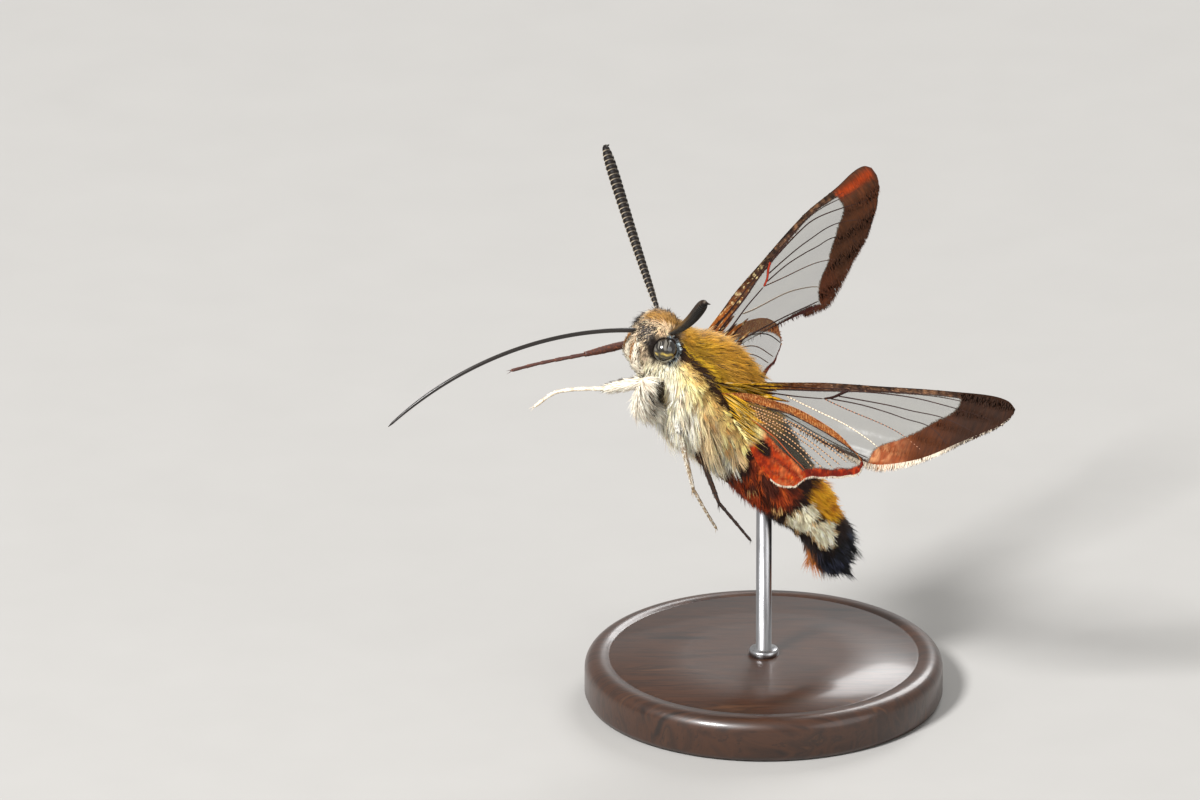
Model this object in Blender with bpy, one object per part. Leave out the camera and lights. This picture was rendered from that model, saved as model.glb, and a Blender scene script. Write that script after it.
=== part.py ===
"""A broad-bordered bee hawk-moth hovering, life size, held on a plain round stand.

The moth is modelled in its own body frame: +X runs forward to the head, +Y to its left and +Z up
through its back, with the origin in the middle of the thorax. The empty moth_pose turns that frame
to the flying attitude and lifts it over the stand. The world origin is the middle of the stand's
underside. Lengths below are in millimetres and angles in degrees.
"""
import math

import bmesh
import bpy
from mathutils import Matrix, Vector

MM = 0.001

# attitude of the hovering moth and the height of its thorax over the floor
HEADING = 205.4
NOSE_UP = 50.1
LEFT_SIDE_DOWN = 11.5
THORAX_CENTRE = (-3.9, -2.2, 21.8)

# the stand
BASE_RADIUS = 11.5
BASE_HEIGHT = 2.8
BASE_EDGE = 0.45
BASE_EDGE_STEPS = 4
BASE_SIDES = 48
ROD_RADIUS = 0.5
ROD_SIDES = 20
ROD_TOP = 14.0
ROD_FOOT_DEPTH = 1.5
SOCKET_CLEARANCE = 0.12
SOCKET_LENGTH = 4.0
HOLE_OVERRUN = 1.0

# clear space kept between pieces that meet
GAP = 0.2
GUARD_STEP = 0.9

# outline of head, thorax and abdomen, out to the tips of the coat, from the face to the tail:
# place along the body, top, bottom, half width
BODY_OUTLINE = (
    (7.30, 0.95, -0.25, 0.55),
    (6.85, 1.75, -1.05, 1.35),
    (6.10, 2.20, -1.75, 1.80),
    (5.10, 2.40, -2.15, 2.05),
    (4.10, 2.75, -2.65, 2.35),
    (3.10, 3.40, -3.15, 2.85),
    (1.80, 3.95, -3.60, 3.20),
    (0.20, 4.20, -3.80, 3.40),
    (-1.60, 4.05, -3.60, 3.30),
    (-3.20, 3.55, -3.25, 2.95),
    (-5.00, 3.05, -3.25, 2.80),
    (-7.50, 2.70, -3.20, 2.90),
    (-9.80, 2.25, -2.90, 2.95),
    (-12.00, 1.95, -2.45, 2.90),
    (-13.60, 1.60, -2.45, 2.60),
    (-15.00, 1.15, -2.82, 2.25),
    (-16.40, 0.60, -2.78, 2.20),
    (-17.30, 0.15, -2.50, 1.90),
    (-17.75, -0.45, -1.95, 1.20),
)

# where the body is parted into its nodes: name, front end, rear end, rings
BODY_PARTS = (
    ("head", 7.42, 4.00, 8),
    ("thorax", 4.00, -3.90, 12),
    ("abdomen_front", -3.90, -7.60, 5),
    ("abdomen_middle", -7.60, -11.10, 5),
    ("abdomen_rear", -11.10, -14.20, 5),
    ("tail_brush", -14.20, -17.95, 7),
)
BODY_SIDES = 26

EYE_CENTRE = (5.35, 1.52, 0.25)
EYE_RADIUS = 0.80
EYE_RINGS = 9
EYE_SIDES = 16

ANTENNA_ROOT = (5.65, 0.90, 1.10)
ANTENNA_REACH = {"left": (6.39, 9.58, 4.24), "right": (6.93, 9.85, 4.06)}
ANTENNA_BOW = -0.30
ANTENNA_RADII = ((0.0, 0.27), (0.12, 0.25), (0.5, 0.28), (0.80, 0.38), (0.93, 0.29), (1.0, 0.16))
ANTENNA_STEPS = 14

PROBOSCIS_ROOT = (6.65, 0.0, -0.15)
PROBOSCIS_RADIUS = 0.25
PROBOSCIS_PITCH = 44.0
PROBOSCIS_STRAIGHT = 1.0
PROBOSCIS_LENGTH = 18.0
PROBOSCIS_DROOP = 50.0
PROBOSCIS_STEPS = 18

PALP_PATH = ((4.75, 0.72, -2.05), (5.70, 0.66, -2.02), (6.45, 0.58, -1.60), (6.95, 0.50, -0.98))
PALP_RADII = ((0.0, 0.42), (0.5, 0.50), (0.85, 0.40), (1.0, 0.22))

# wings: edges in the wing's own plane, as (along the span, across it to the rear), from the root to
# the apex; the tip gives the way it points from its root; the twist, in degrees, is at the root and
# from twist_span on; the bend moves the wing to the rear and widens it, growing over BEND_SPAN
FOREWING = {
    "root": (1.50, 2.40, 1.30),
    "front": ((0.0, 0.0), (5.5, -0.52), (11.5, -0.72), (17.0, -0.80), (19.2, -0.76), (20.4, -0.50),
              (20.9, 0.0)),
    "rear": ((0.0, 1.5), (4.0, 2.35), (8.0, 3.45), (10.8, 4.32), (12.0, 4.30), (14.5, 3.68),
             (17.5, 2.25), (19.4, 1.36), (20.5, 0.62), (20.9, 0.0)),
    "tip": {"left": (-7.7, 13.8, 14.85), "right": (-6.55, -13.85, 15.3)},
    "twist": {"left": (6.0, -44.0), "right": (4.0, 10.0)},
    "twist_span": 9.0,
    "bend": {"left": (0.0, 0.0), "right": (0.45, 0.55)},
    "camber": 0.35,
}
HINDWING = {
    "root": (0.45, 2.40, 1.00),
    "front": ((0.0, -0.2), (2.5, -1.4), (6.0, -2.1), (9.0, -1.9), (11.0, -1.0), (11.9, 0.2)),
    "rear": ((0.0, 1.2), (1.3, 3.4), (2.0, 5.3), (3.2, 6.2), (4.7, 5.8), (6.3, 4.2), (8.8, 2.9),
             (11.2, 1.4), (11.9, 0.2)),
    "tip": {"left": (-4.25, 10.35, 5.0), "right": (-7.4, -7.2, 3.3)},
    "twist": {"left": (-16.0, -16.0), "right": (-40.0, -40.0)},
    "twist_span": 6.0,
    "bend": {"left": (0.0, 0.0), "right": (0.0, 0.0)},
    "camber": 0.25,
}
BEND_SPAN = (13.5, 18.5)
CAMBERED_CHORD = 3.0

WING_THICKNESS = 0.5
WING_CELLS_ALONG = 14
WING_CELLS_ACROSS = 5
WING_REACH = 0.97

# legs: the thigh from the hip by the trochanter to the knee, the shin, and the foot to its claws
LEG_SIDES = 8
LEG_RADII = {"femur": (0.42, 0.34), "tibia": (0.33, 0.27), "tarsus": (0.27, 0.25)}
LEGS = {
    "leg_front_left": {
        "femur": ((2.0, 1.0, -2.9), (3.05, 1.45, -3.6), (5.1, 2.4, -2.0)),
        "tibia": ((5.1, 2.4, -2.0), (5.4, 0.9, -4.1)),
        "tarsus": ((5.4, 0.9, -4.1), (6.6, -0.8, -6.9), (6.8, -0.9, -8.6))},
    "leg_front_right": {
        "femur": ((2.0, -1.0, -2.9), (3.0, -2.4, -2.9), (4.5, -2.95, -1.9)),
        "tibia": ((4.5, -2.95, -1.9), (6.2, -2.75, -4.2)),
        "tarsus": ((6.2, -2.75, -4.2), (7.8, -2.85, -6.7), (8.8, -2.75, -8.3))},
    "leg_middle_left": {
        "femur": ((0.4, 1.3, -2.8), (0.5, 1.9, -4.1), (-0.6, 2.2, -3.9)),
        "tibia": ((-0.6, 2.2, -3.9), (-3.7, 2.3, -4.5)),
        "tarsus": ((-3.7, 2.3, -4.5), (-5.6, 2.2, -4.9), (-7.3, 2.0, -5.2))},
    "leg_middle_right": {
        "femur": ((0.4, -1.3, -2.8), (0.6, -2.2, -3.8), (-0.5, -2.8, -3.6)),
        "tibia": ((-0.5, -2.8, -3.6), (-3.8, -2.7, -3.5)),
        "tarsus": ((-3.8, -2.7, -3.5), (-5.5, -2.6, -3.4), (-7.0, -2.5, -3.3))},
    "leg_hind_left": {
        "femur": ((-2.0, 1.2, -2.5), (-2.2, 1.4, -3.7), (-3.0, 1.4, -4.0)),
        "tibia": ((-3.0, 1.4, -4.0), (-6.2, 1.6, -4.0)),
        "tarsus": ((-6.2, 1.6, -4.0), (-8.2, 1.6, -4.1), (-10.0, 1.5, -4.2))},
    "leg_hind_right": {
        "femur": ((-2.0, -1.2, -2.5), (-2.1, -1.3, -3.6), (-2.9, -1.2, -3.9)),
        "tibia": ((-2.9, -1.2, -3.9), (-6.0, -1.3, -3.8)),
        "tarsus": ((-6.0, -1.3, -3.8), (-7.8, -1.6, -3.5), (-9.2, -1.9, -3.15))},
}

PALE_LEGS = ("leg_front_left", "leg_middle_left")

# colour, roughness, metallic
FINISHES = {
    "golden_coat": ((0.46, 0.33, 0.10), 0.85, 0.0),
    "pale_coat": ((0.74, 0.68, 0.52), 0.85, 0.0),
    "dark_coat": ((0.10, 0.05, 0.03), 0.80, 0.0),
    "red_coat": ((0.26, 0.07, 0.03), 0.80, 0.0),
    "black_coat": ((0.02, 0.02, 0.02), 0.75, 0.0),
    "eye": ((0.10, 0.10, 0.06), 0.15, 0.0),
    "horny_black": ((0.03, 0.02, 0.02), 0.45, 0.0),
    "wing": ((0.30, 0.14, 0.07), 0.40, 0.0),
    "pale_leg": ((0.70, 0.62, 0.48), 0.70, 0.0),
    "brown_leg": ((0.20, 0.10, 0.07), 0.60, 0.0),
    "wood": ((0.16, 0.08, 0.04), 0.45, 0.0),
    "steel": ((0.60, 0.60, 0.60), 0.25, 1.0),
}
BODY_FINISH = {"head": "golden_coat", "thorax": "golden_coat", "abdomen_front": "red_coat",
               "abdomen_middle": "dark_coat", "abdomen_rear": "pale_coat", "tail_brush": "black_coat"}


def clear_scene():
    for old in list(bpy.data.objects):
        bpy.data.objects.remove(old, do_unlink=True)


def add_material(name, finish):
    colour, roughness, metallic = FINISHES[finish]
    material = bpy.data.materials.new(name)
    material.use_nodes = True
    shader = material.node_tree.nodes["Principled BSDF"]
    shader.inputs["Base Color"].default_value = (*colour, 1.0)
    shader.inputs["Roughness"].default_value = roughness
    shader.inputs["Metallic"].default_value = metallic
    material.diffuse_color = (*colour, 1.0)
    return material


def add_object(name, verts, faces, finish, parent=None, smooth_angle=40.0):
    """An object from points in millimetres, with its own material."""
    mesh = bpy.data.meshes.new(name)
    mesh.from_pydata([Vector(v) * MM for v in verts], [], faces)
    shaping = bmesh.new()
    shaping.from_mesh(mesh)
    bmesh.ops.recalc_face_normals(shaping, faces=shaping.faces)
    shaping.to_mesh(mesh)
    shaping.free()
    mesh.shade_smooth()
    mesh.set_sharp_from_angle(angle=math.radians(smooth_angle))
    thing = bpy.data.objects.new(name, mesh)
    bpy.context.collection.objects.link(thing)
    thing.parent = parent
    mesh.materials.append(add_material(name, finish))
    return thing


def as_cutter(thing):
    thing.hide_render = True
    thing.display_type = "WIRE"
    return thing


def cut(thing, cutter):
    trim = thing.modifiers.new("cut_by_" + cutter.name, "BOOLEAN")
    trim.operation = "DIFFERENCE"
    trim.solver = "EXACT"
    trim.object = cutter


def smooth_value(keys, x):
    """A value read from a smooth curve through (place, value) keys, placed in rising order."""
    if x <= keys[0][0]:
        return keys[0][1]
    if x >= keys[-1][0]:
        return keys[-1][1]
    i = max(k for k in range(len(keys) - 1) if keys[k][0] <= x)
    (x0, y0), (x1, y1) = keys[i], keys[i + 1]
    before, after = keys[max(i - 1, 0)], keys[min(i + 2, len(keys) - 1)]
    slope0 = (y1 - before[1]) / (x1 - before[0])
    slope1 = (after[1] - y0) / (after[0] - x0)
    step = x1 - x0
    t = (x - x0) / step
    return ((2 * t**3 - 3 * t**2 + 1) * y0 + (t**3 - 2 * t**2 + t) * step * slope0
            + (3 * t**2 - 2 * t**3) * y1 + (t**3 - t**2) * step * slope1)


def body_ring(x, grow=0.0):
    """Points of the body's cross-section at x, moved out by grow."""
    outline = [[(row[0], row[k]) for row in reversed(BODY_OUTLINE)] for k in (1, 2, 3)]
    top, bottom, half_width = (smooth_value(keys, x) for keys in outline)
    middle = (top + bottom) / 2
    half_height = (top - bottom) / 2 + grow
    ring = []
    for k in range(BODY_SIDES):
        turn = 2 * math.pi * k / BODY_SIDES
        ring.append((x, (half_width + grow) * math.cos(turn), middle + half_height * math.sin(turn)))
    return ring


def loft(rings, close_first=None, close_last=None):
    """A closed skin over rings of points. A tip point, if given, closes an end."""
    sides = len(rings[0])
    verts = [point for ring in rings for point in ring]
    faces = []
    for r in range(len(rings) - 1):
        for k in range(sides):
            n = (k + 1) % sides
            faces.append((r * sides + k, r * sides + n, (r + 1) * sides + n, (r + 1) * sides + k))
    for tip, ring_start in ((close_first, 0), (close_last, (len(rings) - 1) * sides)):
        if tip is None:
            faces.append(tuple(range(ring_start, ring_start + sides)))
            continue
        verts.append(tip)
        for k in range(sides):
            faces.append((ring_start + k, ring_start + (k + 1) % sides, len(verts) - 1))
    return verts, faces


def body_slice(name, front, rear, rings, finish, parent, grow=0.0):
    """One length of the body. The ends at the face and the tail are rounded off to a point."""
    at_face = front > BODY_OUTLINE[0][0]
    at_tail = rear < BODY_OUTLINE[-1][0]
    first = BODY_OUTLINE[0][0] if at_face else front - GAP / 2 + grow
    last = BODY_OUTLINE[-1][0] if at_tail else rear + GAP / 2 - grow
    stations = [first + (last - first) * k / (rings - 1) for k in range(rings)]
    sections = [body_ring(x, grow) for x in stations]
    tips = []
    for x, section, open_end in ((front, sections[0], at_face), (rear, sections[-1], at_tail)):
        height = sum(point[2] for point in section) / len(section)
        tips.append((x, 0.0, height) if open_end else None)
    verts, faces = loft(sections, *tips)
    return add_object(name, verts, faces, finish, parent)


def tube(path, radii, sides=LEG_SIDES):
    """A round tube along a path. radii are (share of the length, radius) keys."""
    points = [Vector(p) for p in path]
    lengths = [0.0]
    for a, b in zip(points, points[1:]):
        lengths.append(lengths[-1] + (b - a).length)
    across = None
    rings = []
    for k, point in enumerate(points):
        ahead = points[min(k + 1, len(points) - 1)]
        behind = points[max(k - 1, 0)]
        along = (ahead - behind).normalized()
        if across is None:
            across = along.orthogonal().normalized()
        across = (across - along * across.dot(along)).normalized()
        other = along.cross(across)
        radius = smooth_value(radii, lengths[k] / lengths[-1])
        rings.append([tuple(point + radius * (math.cos(t) * across + math.sin(t) * other))
                      for t in (2 * math.pi * j / sides for j in range(sides))])
    return loft(rings)


def mirrored(point, side):
    return point if side == "left" else (point[0], -point[1], point[2])


def shortened(path, gap_start, gap_end):
    """The path with its two ends drawn back."""
    points = [Vector(p) for p in path]
    points[0] = points[0] + (points[1] - points[0]).normalized() * gap_start
    points[-1] = points[-1] + (points[-2] - points[-1]).normalized() * gap_end
    return points


def build_stand():
    profile = [(BASE_RADIUS - BASE_EDGE, 0.0), (BASE_RADIUS, BASE_EDGE)]
    for k in range(BASE_EDGE_STEPS + 1):
        turn = math.pi / 2 * k / BASE_EDGE_STEPS
        profile.append((BASE_RADIUS - BASE_EDGE * 2 * (1 - math.cos(turn)),
                        BASE_HEIGHT - BASE_EDGE * 2 * (1 - math.sin(turn))))
    rings = [level_circle(r, z, BASE_SIDES) for r, z in profile]
    base = add_object("stand_base", *loft(rings), "wood")
    rod_foot = BASE_HEIGHT - ROD_FOOT_DEPTH
    rod = add_object("stand_rod", *rod_shape(ROD_RADIUS, rod_foot, ROD_TOP), "steel")
    hole = rod_shape(ROD_RADIUS + SOCKET_CLEARANCE, rod_foot - SOCKET_CLEARANCE, BASE_HEIGHT + HOLE_OVERRUN)
    cut(base, as_cutter(add_object("rod_hole", *hole, "steel")))
    return base, rod


def level_circle(radius, height, sides):
    return [(radius * math.cos(t), radius * math.sin(t), height)
            for t in (2 * math.pi * j / sides for j in range(sides))]


def rod_shape(radius, low, high):
    return loft([level_circle(radius, height, ROD_SIDES) for height in (low, high)])


def build_body(pose):
    parts = {}
    for name, front, rear, rings in BODY_PARTS:
        parts[name] = body_slice(name, front, rear, rings, BODY_FINISH[name], pose)
    socket = rod_shape(ROD_RADIUS + SOCKET_CLEARANCE, ROD_TOP - SOCKET_LENGTH, ROD_TOP + SOCKET_CLEARANCE)
    cut(parts["abdomen_middle"], as_cutter(add_object("rod_socket", *socket, "steel")))
    return parts


def body_guard(pose):
    """The body grown by the gap, to trim what meets it."""
    count = round((BODY_OUTLINE[0][0] - BODY_OUTLINE[-1][0]) / GUARD_STEP)
    stations = [BODY_OUTLINE[0][0] - k * GUARD_STEP for k in range(count + 1)]
    sections = [body_ring(x, GAP) for x in stations if x > BODY_OUTLINE[-1][0]]
    face_tip = (BODY_PARTS[0][1] + GAP, 0.0, sections[0][0][2])
    tail_tip = (BODY_PARTS[-1][2] - GAP, 0.0, sections[-1][0][2])
    verts, faces = loft(sections, face_tip, tail_tip)
    return as_cutter(add_object("body_guard", verts, faces, "steel", pose))


def ball(centre, radius):
    """A ball as points and faces, with its poles along Y."""
    cx, cy, cz = centre
    sections = []
    for r in range(1, EYE_RINGS):
        tilt = math.pi * r / EYE_RINGS
        sections.append([(cx + radius * math.sin(tilt) * math.cos(t), cy + radius * math.cos(tilt),
                          cz + radius * math.sin(tilt) * math.sin(t))
                         for t in (2 * math.pi * j / EYE_SIDES for j in range(EYE_SIDES))])
    return loft(sections, (cx, cy + radius, cz), (cx, cy - radius, cz))


def build_eyes(pose, head):
    for side in ("left", "right"):
        centre = mirrored(EYE_CENTRE, side)
        add_object("eye_" + side, *ball(centre, EYE_RADIUS), "eye", pose)
        socket = add_object("eye_socket_" + side, *ball(centre, EYE_RADIUS + GAP / 2), "eye", pose)
        cut(head, as_cutter(socket))


def build_antennae(pose, guard):
    for side in ("left", "right"):
        root = Vector(mirrored(ANTENNA_ROOT, side))
        reach = Vector(mirrored(ANTENNA_REACH[side], side))
        rise = reach.cross(Vector((0, -reach.y, 0))).cross(reach).normalized()
        path = [root + reach * share + rise * ANTENNA_BOW * math.sin(math.pi * share)
                for share in (k / ANTENNA_STEPS for k in range(ANTENNA_STEPS + 1))]
        feeler = add_object("antenna_" + side, *tube(path, ANTENNA_RADII), "horny_black", pose)
        cut(feeler, guard)


def proboscis_path():
    point = Vector(PROBOSCIS_ROOT)
    path = [tuple(point)]
    pitch = math.radians(PROBOSCIS_PITCH)
    step = PROBOSCIS_LENGTH / PROBOSCIS_STEPS
    for k in range(1, PROBOSCIS_STEPS + 1):
        bend = max(0.0, k * step - PROBOSCIS_STRAIGHT) / (PROBOSCIS_LENGTH - PROBOSCIS_STRAIGHT)
        angle = pitch + math.radians(PROBOSCIS_DROOP) * bend
        point = point + Vector((math.cos(angle), 0.0, -math.sin(angle))) * step
        path.append(tuple(point))
    return path


def build_mouth(pose, guard):
    radii = ((0.0, PROBOSCIS_RADIUS), (1.0, PROBOSCIS_RADIUS))
    tongue = add_object("proboscis", *tube(proboscis_path(), radii), "horny_black", pose)
    cut(tongue, guard)
    for side in ("left", "right"):
        path = [mirrored(p, side) for p in PALP_PATH]
        palp = add_object("palp_" + side, *tube(path, PALP_RADII), "pale_coat", pose)
        cut(palp, guard)


def wing_frame(tip, side):
    """Span direction, rearward direction and upward direction of a wing, all at right angles."""
    span = Vector(tip).normalized()
    rearward = Vector((-1.0, 0.0, 0.0))
    rearward = (rearward - span * rearward.dot(span)).normalized()
    upward = span.cross(rearward) * (1 if side == "left" else -1)
    return span, rearward, upward


def smooth_path(points, share):
    """The point at a share, 0 to 1, of the way along a smooth curve through points."""
    places = [0.0]
    for (ax, ay), (bx, by) in zip(points, points[1:]):
        places.append(places[-1] + math.hypot(bx - ax, by - ay))
    place = share * places[-1]
    return tuple(smooth_value([(at, point[k]) for at, point in zip(places, points)], place)
                 for k in (0, 1))


def eased(share):
    """A share, kept to 0 to 1, that sets off and ends slowly."""
    share = min(max(share, 0.0), 1.0)
    return share * share * (3 - 2 * share)


def wing_surface(wing, side):
    """A function that gives a point of the wing and its upward normal from two shares, 0 to 1."""
    span, rearward, upward = wing_frame(wing["tip"][side], side)
    base = Vector(mirrored(wing["root"], side))
    at_root, further_out = wing["twist"][side]
    swing, widening = wing["bend"][side]

    def at(along, across):
        front_u, front_v = smooth_path(wing["front"], along)
        rear_u, rear_v = smooth_path(wing["rear"], along)
        u = front_u + (rear_u - front_u) * across
        v = front_v + (rear_v - front_v) * across
        bent = eased((u - BEND_SPAN[0]) / (BEND_SPAN[1] - BEND_SPAN[0]))
        v += (swing + widening * across) * bent
        angle = math.radians(at_root + (further_out - at_root) * eased(u / wing["twist_span"]))
        chord = math.cos(angle) * rearward + math.sin(angle) * upward
        normal = math.cos(angle) * upward - math.sin(angle) * rearward
        cambered = min(1.0, (rear_v - front_v) / CAMBERED_CHORD)
        lift = wing["camber"] * math.sin(math.pi * across) * cambered
        return base + span * u + chord * v + normal * lift, normal

    return at


def build_wing(name, surface, pose, guard):
    """A plate of even thickness over the wing's surface."""
    across, along = WING_CELLS_ACROSS, WING_CELLS_ALONG
    sheets = ([], [])
    for i in range(along + 1):
        share = i / along * WING_REACH
        for j in range(across + 1):
            point, normal = surface(share, j / across)
            sheets[0].append(tuple(point + normal * WING_THICKNESS / 2))
            sheets[1].append(tuple(point - normal * WING_THICKNESS / 2))
    count = len(sheets[0])
    faces = []
    row = across + 1
    for i in range(along):
        for j in range(across):
            a, b, c, d = i * row + j, (i + 1) * row + j, (i + 1) * row + j + 1, i * row + j + 1
            faces.append((a, b, c, d))
            faces.append((a + count, d + count, c + count, b + count))
    rim = [i * row for i in range(along + 1)] + [along * row + j for j in range(1, row)]
    rim += [i * row + across for i in range(along - 1, -1, -1)] + list(range(across - 1, 0, -1))
    for a, b in zip(rim, rim[1:] + rim[:1]):
        faces.append((a, b, b + count, a + count))
    wing = add_object(name, sheets[0] + sheets[1], faces, "wing", pose)
    cut(wing, guard)


def build_wings(pose, guard):
    for side in ("left", "right"):
        build_wing("forewing_" + side, wing_surface(FOREWING, side), pose, guard)
        build_wing("hindwing_" + side, wing_surface(HINDWING, side), pose, guard)


def joint_room(before, joint, after, radius):
    """How far a tube of this radius is drawn back from a joint, to stay clear of the next one."""
    bend = (Vector(joint) - Vector(before)).angle(Vector(after) - Vector(joint))
    return radius * math.tan(bend / 2) + GAP / 2


def build_legs(pose, guard):
    for leg, segments in LEGS.items():
        femur, tibia, tarsus = (segments[name] for name in LEG_RADII)
        knee = joint_room(femur[-2], tibia[0], tibia[1], LEG_RADII["femur"][1])
        ankle = joint_room(tibia[0], tarsus[0], tarsus[1], LEG_RADII["tibia"][1])
        room = {"femur": (0.0, knee), "tibia": (knee, ankle), "tarsus": (ankle, 0.0)}
        finish = "pale_leg" if leg in PALE_LEGS else "brown_leg"
        for segment, path in segments.items():
            thick, thin = LEG_RADII[segment]
            shape = tube(shortened(path, *room[segment]), ((0.0, thick), (1.0, thin)))
            piece = add_object(leg + "_" + segment, *shape, finish, pose)
            if segment == "femur":
                cut(piece, guard)


def build_pose():
    pose = bpy.data.objects.new("moth_pose", None)
    bpy.context.collection.objects.link(pose)
    turn = (Matrix.Rotation(math.radians(HEADING), 3, "Z") @ Matrix.Rotation(math.radians(-NOSE_UP), 3, "Y")
            @ Matrix.Rotation(math.radians(-LEFT_SIDE_DOWN), 3, "X"))
    pose.location = Vector(THORAX_CENTRE) * MM
    pose.rotation_euler = turn.to_euler()
    return pose


def build_moth():
    pose = build_pose()
    parts = build_body(pose)
    guard = body_guard(pose)
    build_eyes(pose, parts["head"])
    build_antennae(pose, guard)
    build_mouth(pose, guard)
    build_wings(pose, guard)
    build_legs(pose, guard)


clear_scene()
build_stand()
build_moth()
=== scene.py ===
import math

import bpy
import numpy as np
from mathutils import Matrix, Vector, kdtree


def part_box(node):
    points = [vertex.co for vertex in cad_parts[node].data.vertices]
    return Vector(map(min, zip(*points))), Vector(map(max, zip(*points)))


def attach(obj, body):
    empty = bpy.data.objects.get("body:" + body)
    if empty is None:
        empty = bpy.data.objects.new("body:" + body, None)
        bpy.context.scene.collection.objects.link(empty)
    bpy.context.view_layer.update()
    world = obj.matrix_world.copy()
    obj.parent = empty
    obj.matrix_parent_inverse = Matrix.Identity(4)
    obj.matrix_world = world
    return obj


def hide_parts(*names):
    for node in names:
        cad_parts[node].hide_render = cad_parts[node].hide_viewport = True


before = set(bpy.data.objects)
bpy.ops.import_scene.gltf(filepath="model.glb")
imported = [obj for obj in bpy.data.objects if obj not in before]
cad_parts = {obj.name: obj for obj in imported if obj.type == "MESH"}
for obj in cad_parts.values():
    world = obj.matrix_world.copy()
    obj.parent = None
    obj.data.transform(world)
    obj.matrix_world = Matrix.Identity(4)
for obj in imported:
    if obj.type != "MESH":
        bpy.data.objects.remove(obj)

# Bee hawk-moth on its stand. Shapes are worked out in the moth's own frame, in millimetres:
# +X to the head, +Y to its left, +Z up through its back, origin in the middle of the thorax.
mm = 0.001
fullTurn = 2 * np.pi
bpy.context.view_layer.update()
attitude = dict(heading=205.4, noseUp=50.1, leftSideDown=11.5, thorax=(-3.9, -2.2, 21.8))


def turned(degrees, axis):
    return np.array(Matrix.Rotation(math.radians(degrees), 3, axis))


bodyTurn = (turned(attitude["heading"], "Z") @ turned(-attitude["noseUp"], "Y")
            @ turned(-attitude["leftSideDown"], "X"))


def toWorld(points):
    return (np.asarray(points) @ bodyTurn.T + np.array(attitude["thorax"])) * mm


def toBody(point):
    return (np.array(point) / mm - np.array(attitude["thorax"])) @ bodyTurn


def mirrored(points, side):  # what is given for the left, on either side
    return np.asarray(points, float) * (1, 1 if side == "left" else -1, 1)


def paint(code):  # a screen colour such as "c79a55" as the linear values that shaders use
    value = np.array([int(code[k:k + 2], 16) for k in (0, 2, 4)]) / 255
    return np.where(value <= 0.04045, value / 12.92, ((value + 0.055) / 1.055) ** 2.4)


def palette(**codes):
    return {name: paint(code) for name, code in codes.items()}


def opaque(code):
    return (*paint(code), 1.0)


def grey(value):
    return (value, value, value, 1.0)


def ramp(value, low, high):  # rises softly from 0 at low to 1 at high
    share = np.clip((value - low) / (high - low), 0, 1)
    return share * share * (3 - 2 * share)


def bell(value, middle, spread):
    return np.exp(-((value - middle) / spread) ** 2)


def blend(first, second, share):
    share = np.asarray(share)[..., None] if np.ndim(share) else share
    return first + (second - first) * share


def layered(tint, tones, *layers):  # lays colours over a tint, each by its share
    for tone, share in layers:
        tint = blend(tint, tones[tone] if isinstance(tone, str) else tone, share)
    return tint


def unit(vectors):
    return vectors / np.maximum(np.linalg.norm(vectors, axis=-1, keepdims=True), 1e-9)


def flattened(vectors, normal, share=1.0):  # without what points along the normal
    return vectors - normal * (vectors * normal).sum(-1, keepdims=True) * share


def ringAngles(count):
    return np.linspace(0, fullTurn, count, endpoint=False)


def reachOf(points):  # length along a line of points, at each of them
    return np.concatenate([[0], np.cumsum(np.linalg.norm(np.diff(points, axis=0), axis=1))])


def smoothKeys(keys, place):  # reads a smooth curve through rows of (place, values...)
    table = np.array(keys, float)
    places, values = table[:, 0], table[:, 1:]
    count = len(places)
    after = np.minimum(np.arange(count) + 1, count - 1)
    before = np.maximum(np.arange(count) - 1, 0)
    slope = (values[after] - values[before]) / (places[after] - places[before])[:, None]
    place = np.clip(np.asarray(place, float), places[0], places[-1])
    k = np.clip(np.searchsorted(places, place, side="right") - 1, 0, count - 2)
    step = (places[k + 1] - places[k])[..., None]
    t = (place - places[k])[..., None] / step
    found = ((2 * t**3 - 3 * t**2 + 1) * values[k] + (t**3 - 2 * t**2 + t) * step * slope[k]
             + (3 * t**2 - 2 * t**3) * values[k + 1] + (t**3 - t**2) * step * slope[k + 1])
    return found[..., 0] if found.shape[-1] == 1 else found


def smoothPath(points, share):  # points at shares, 0 to 1, along a smooth curve
    table = np.array(points, float)
    reach = reachOf(table)
    return smoothKeys(np.column_stack([reach, table]), np.asarray(share) * reach[-1])


def readPath(path, share):  # points at shares, 0 to 1, of the rows of a path
    rows = np.linspace(0, 1, len(path))
    return np.column_stack([np.interp(share, rows, column) for column in path.T])


def softNoise(points, size, seed):  # smooth noise from 0 to 1 with lumps of that size
    place = np.asarray(points, float) / size + seed * 17.31
    cell = np.floor(place).astype(np.int64)
    t = place - cell
    t = t * t * (3 - 2 * t)
    total = 0
    for corner in range(8):
        step = np.array([corner & 1, corner >> 1 & 1, corner >> 2 & 1])
        at = (cell + step) * np.array([73856093, 19349663, 83492791])  # large primes scatter the cells
        mixed = (at[..., 0] ^ at[..., 1] ^ at[..., 2]) + seed * 7919
        mixed = (mixed ^ (mixed >> 13)) * 1274126177 & 0x7FFFFFFF
        weight = np.prod(np.where(step, t, 1 - t), axis=-1)
        total = total + weight * (mixed % 65521) / 65521
    return total


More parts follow.
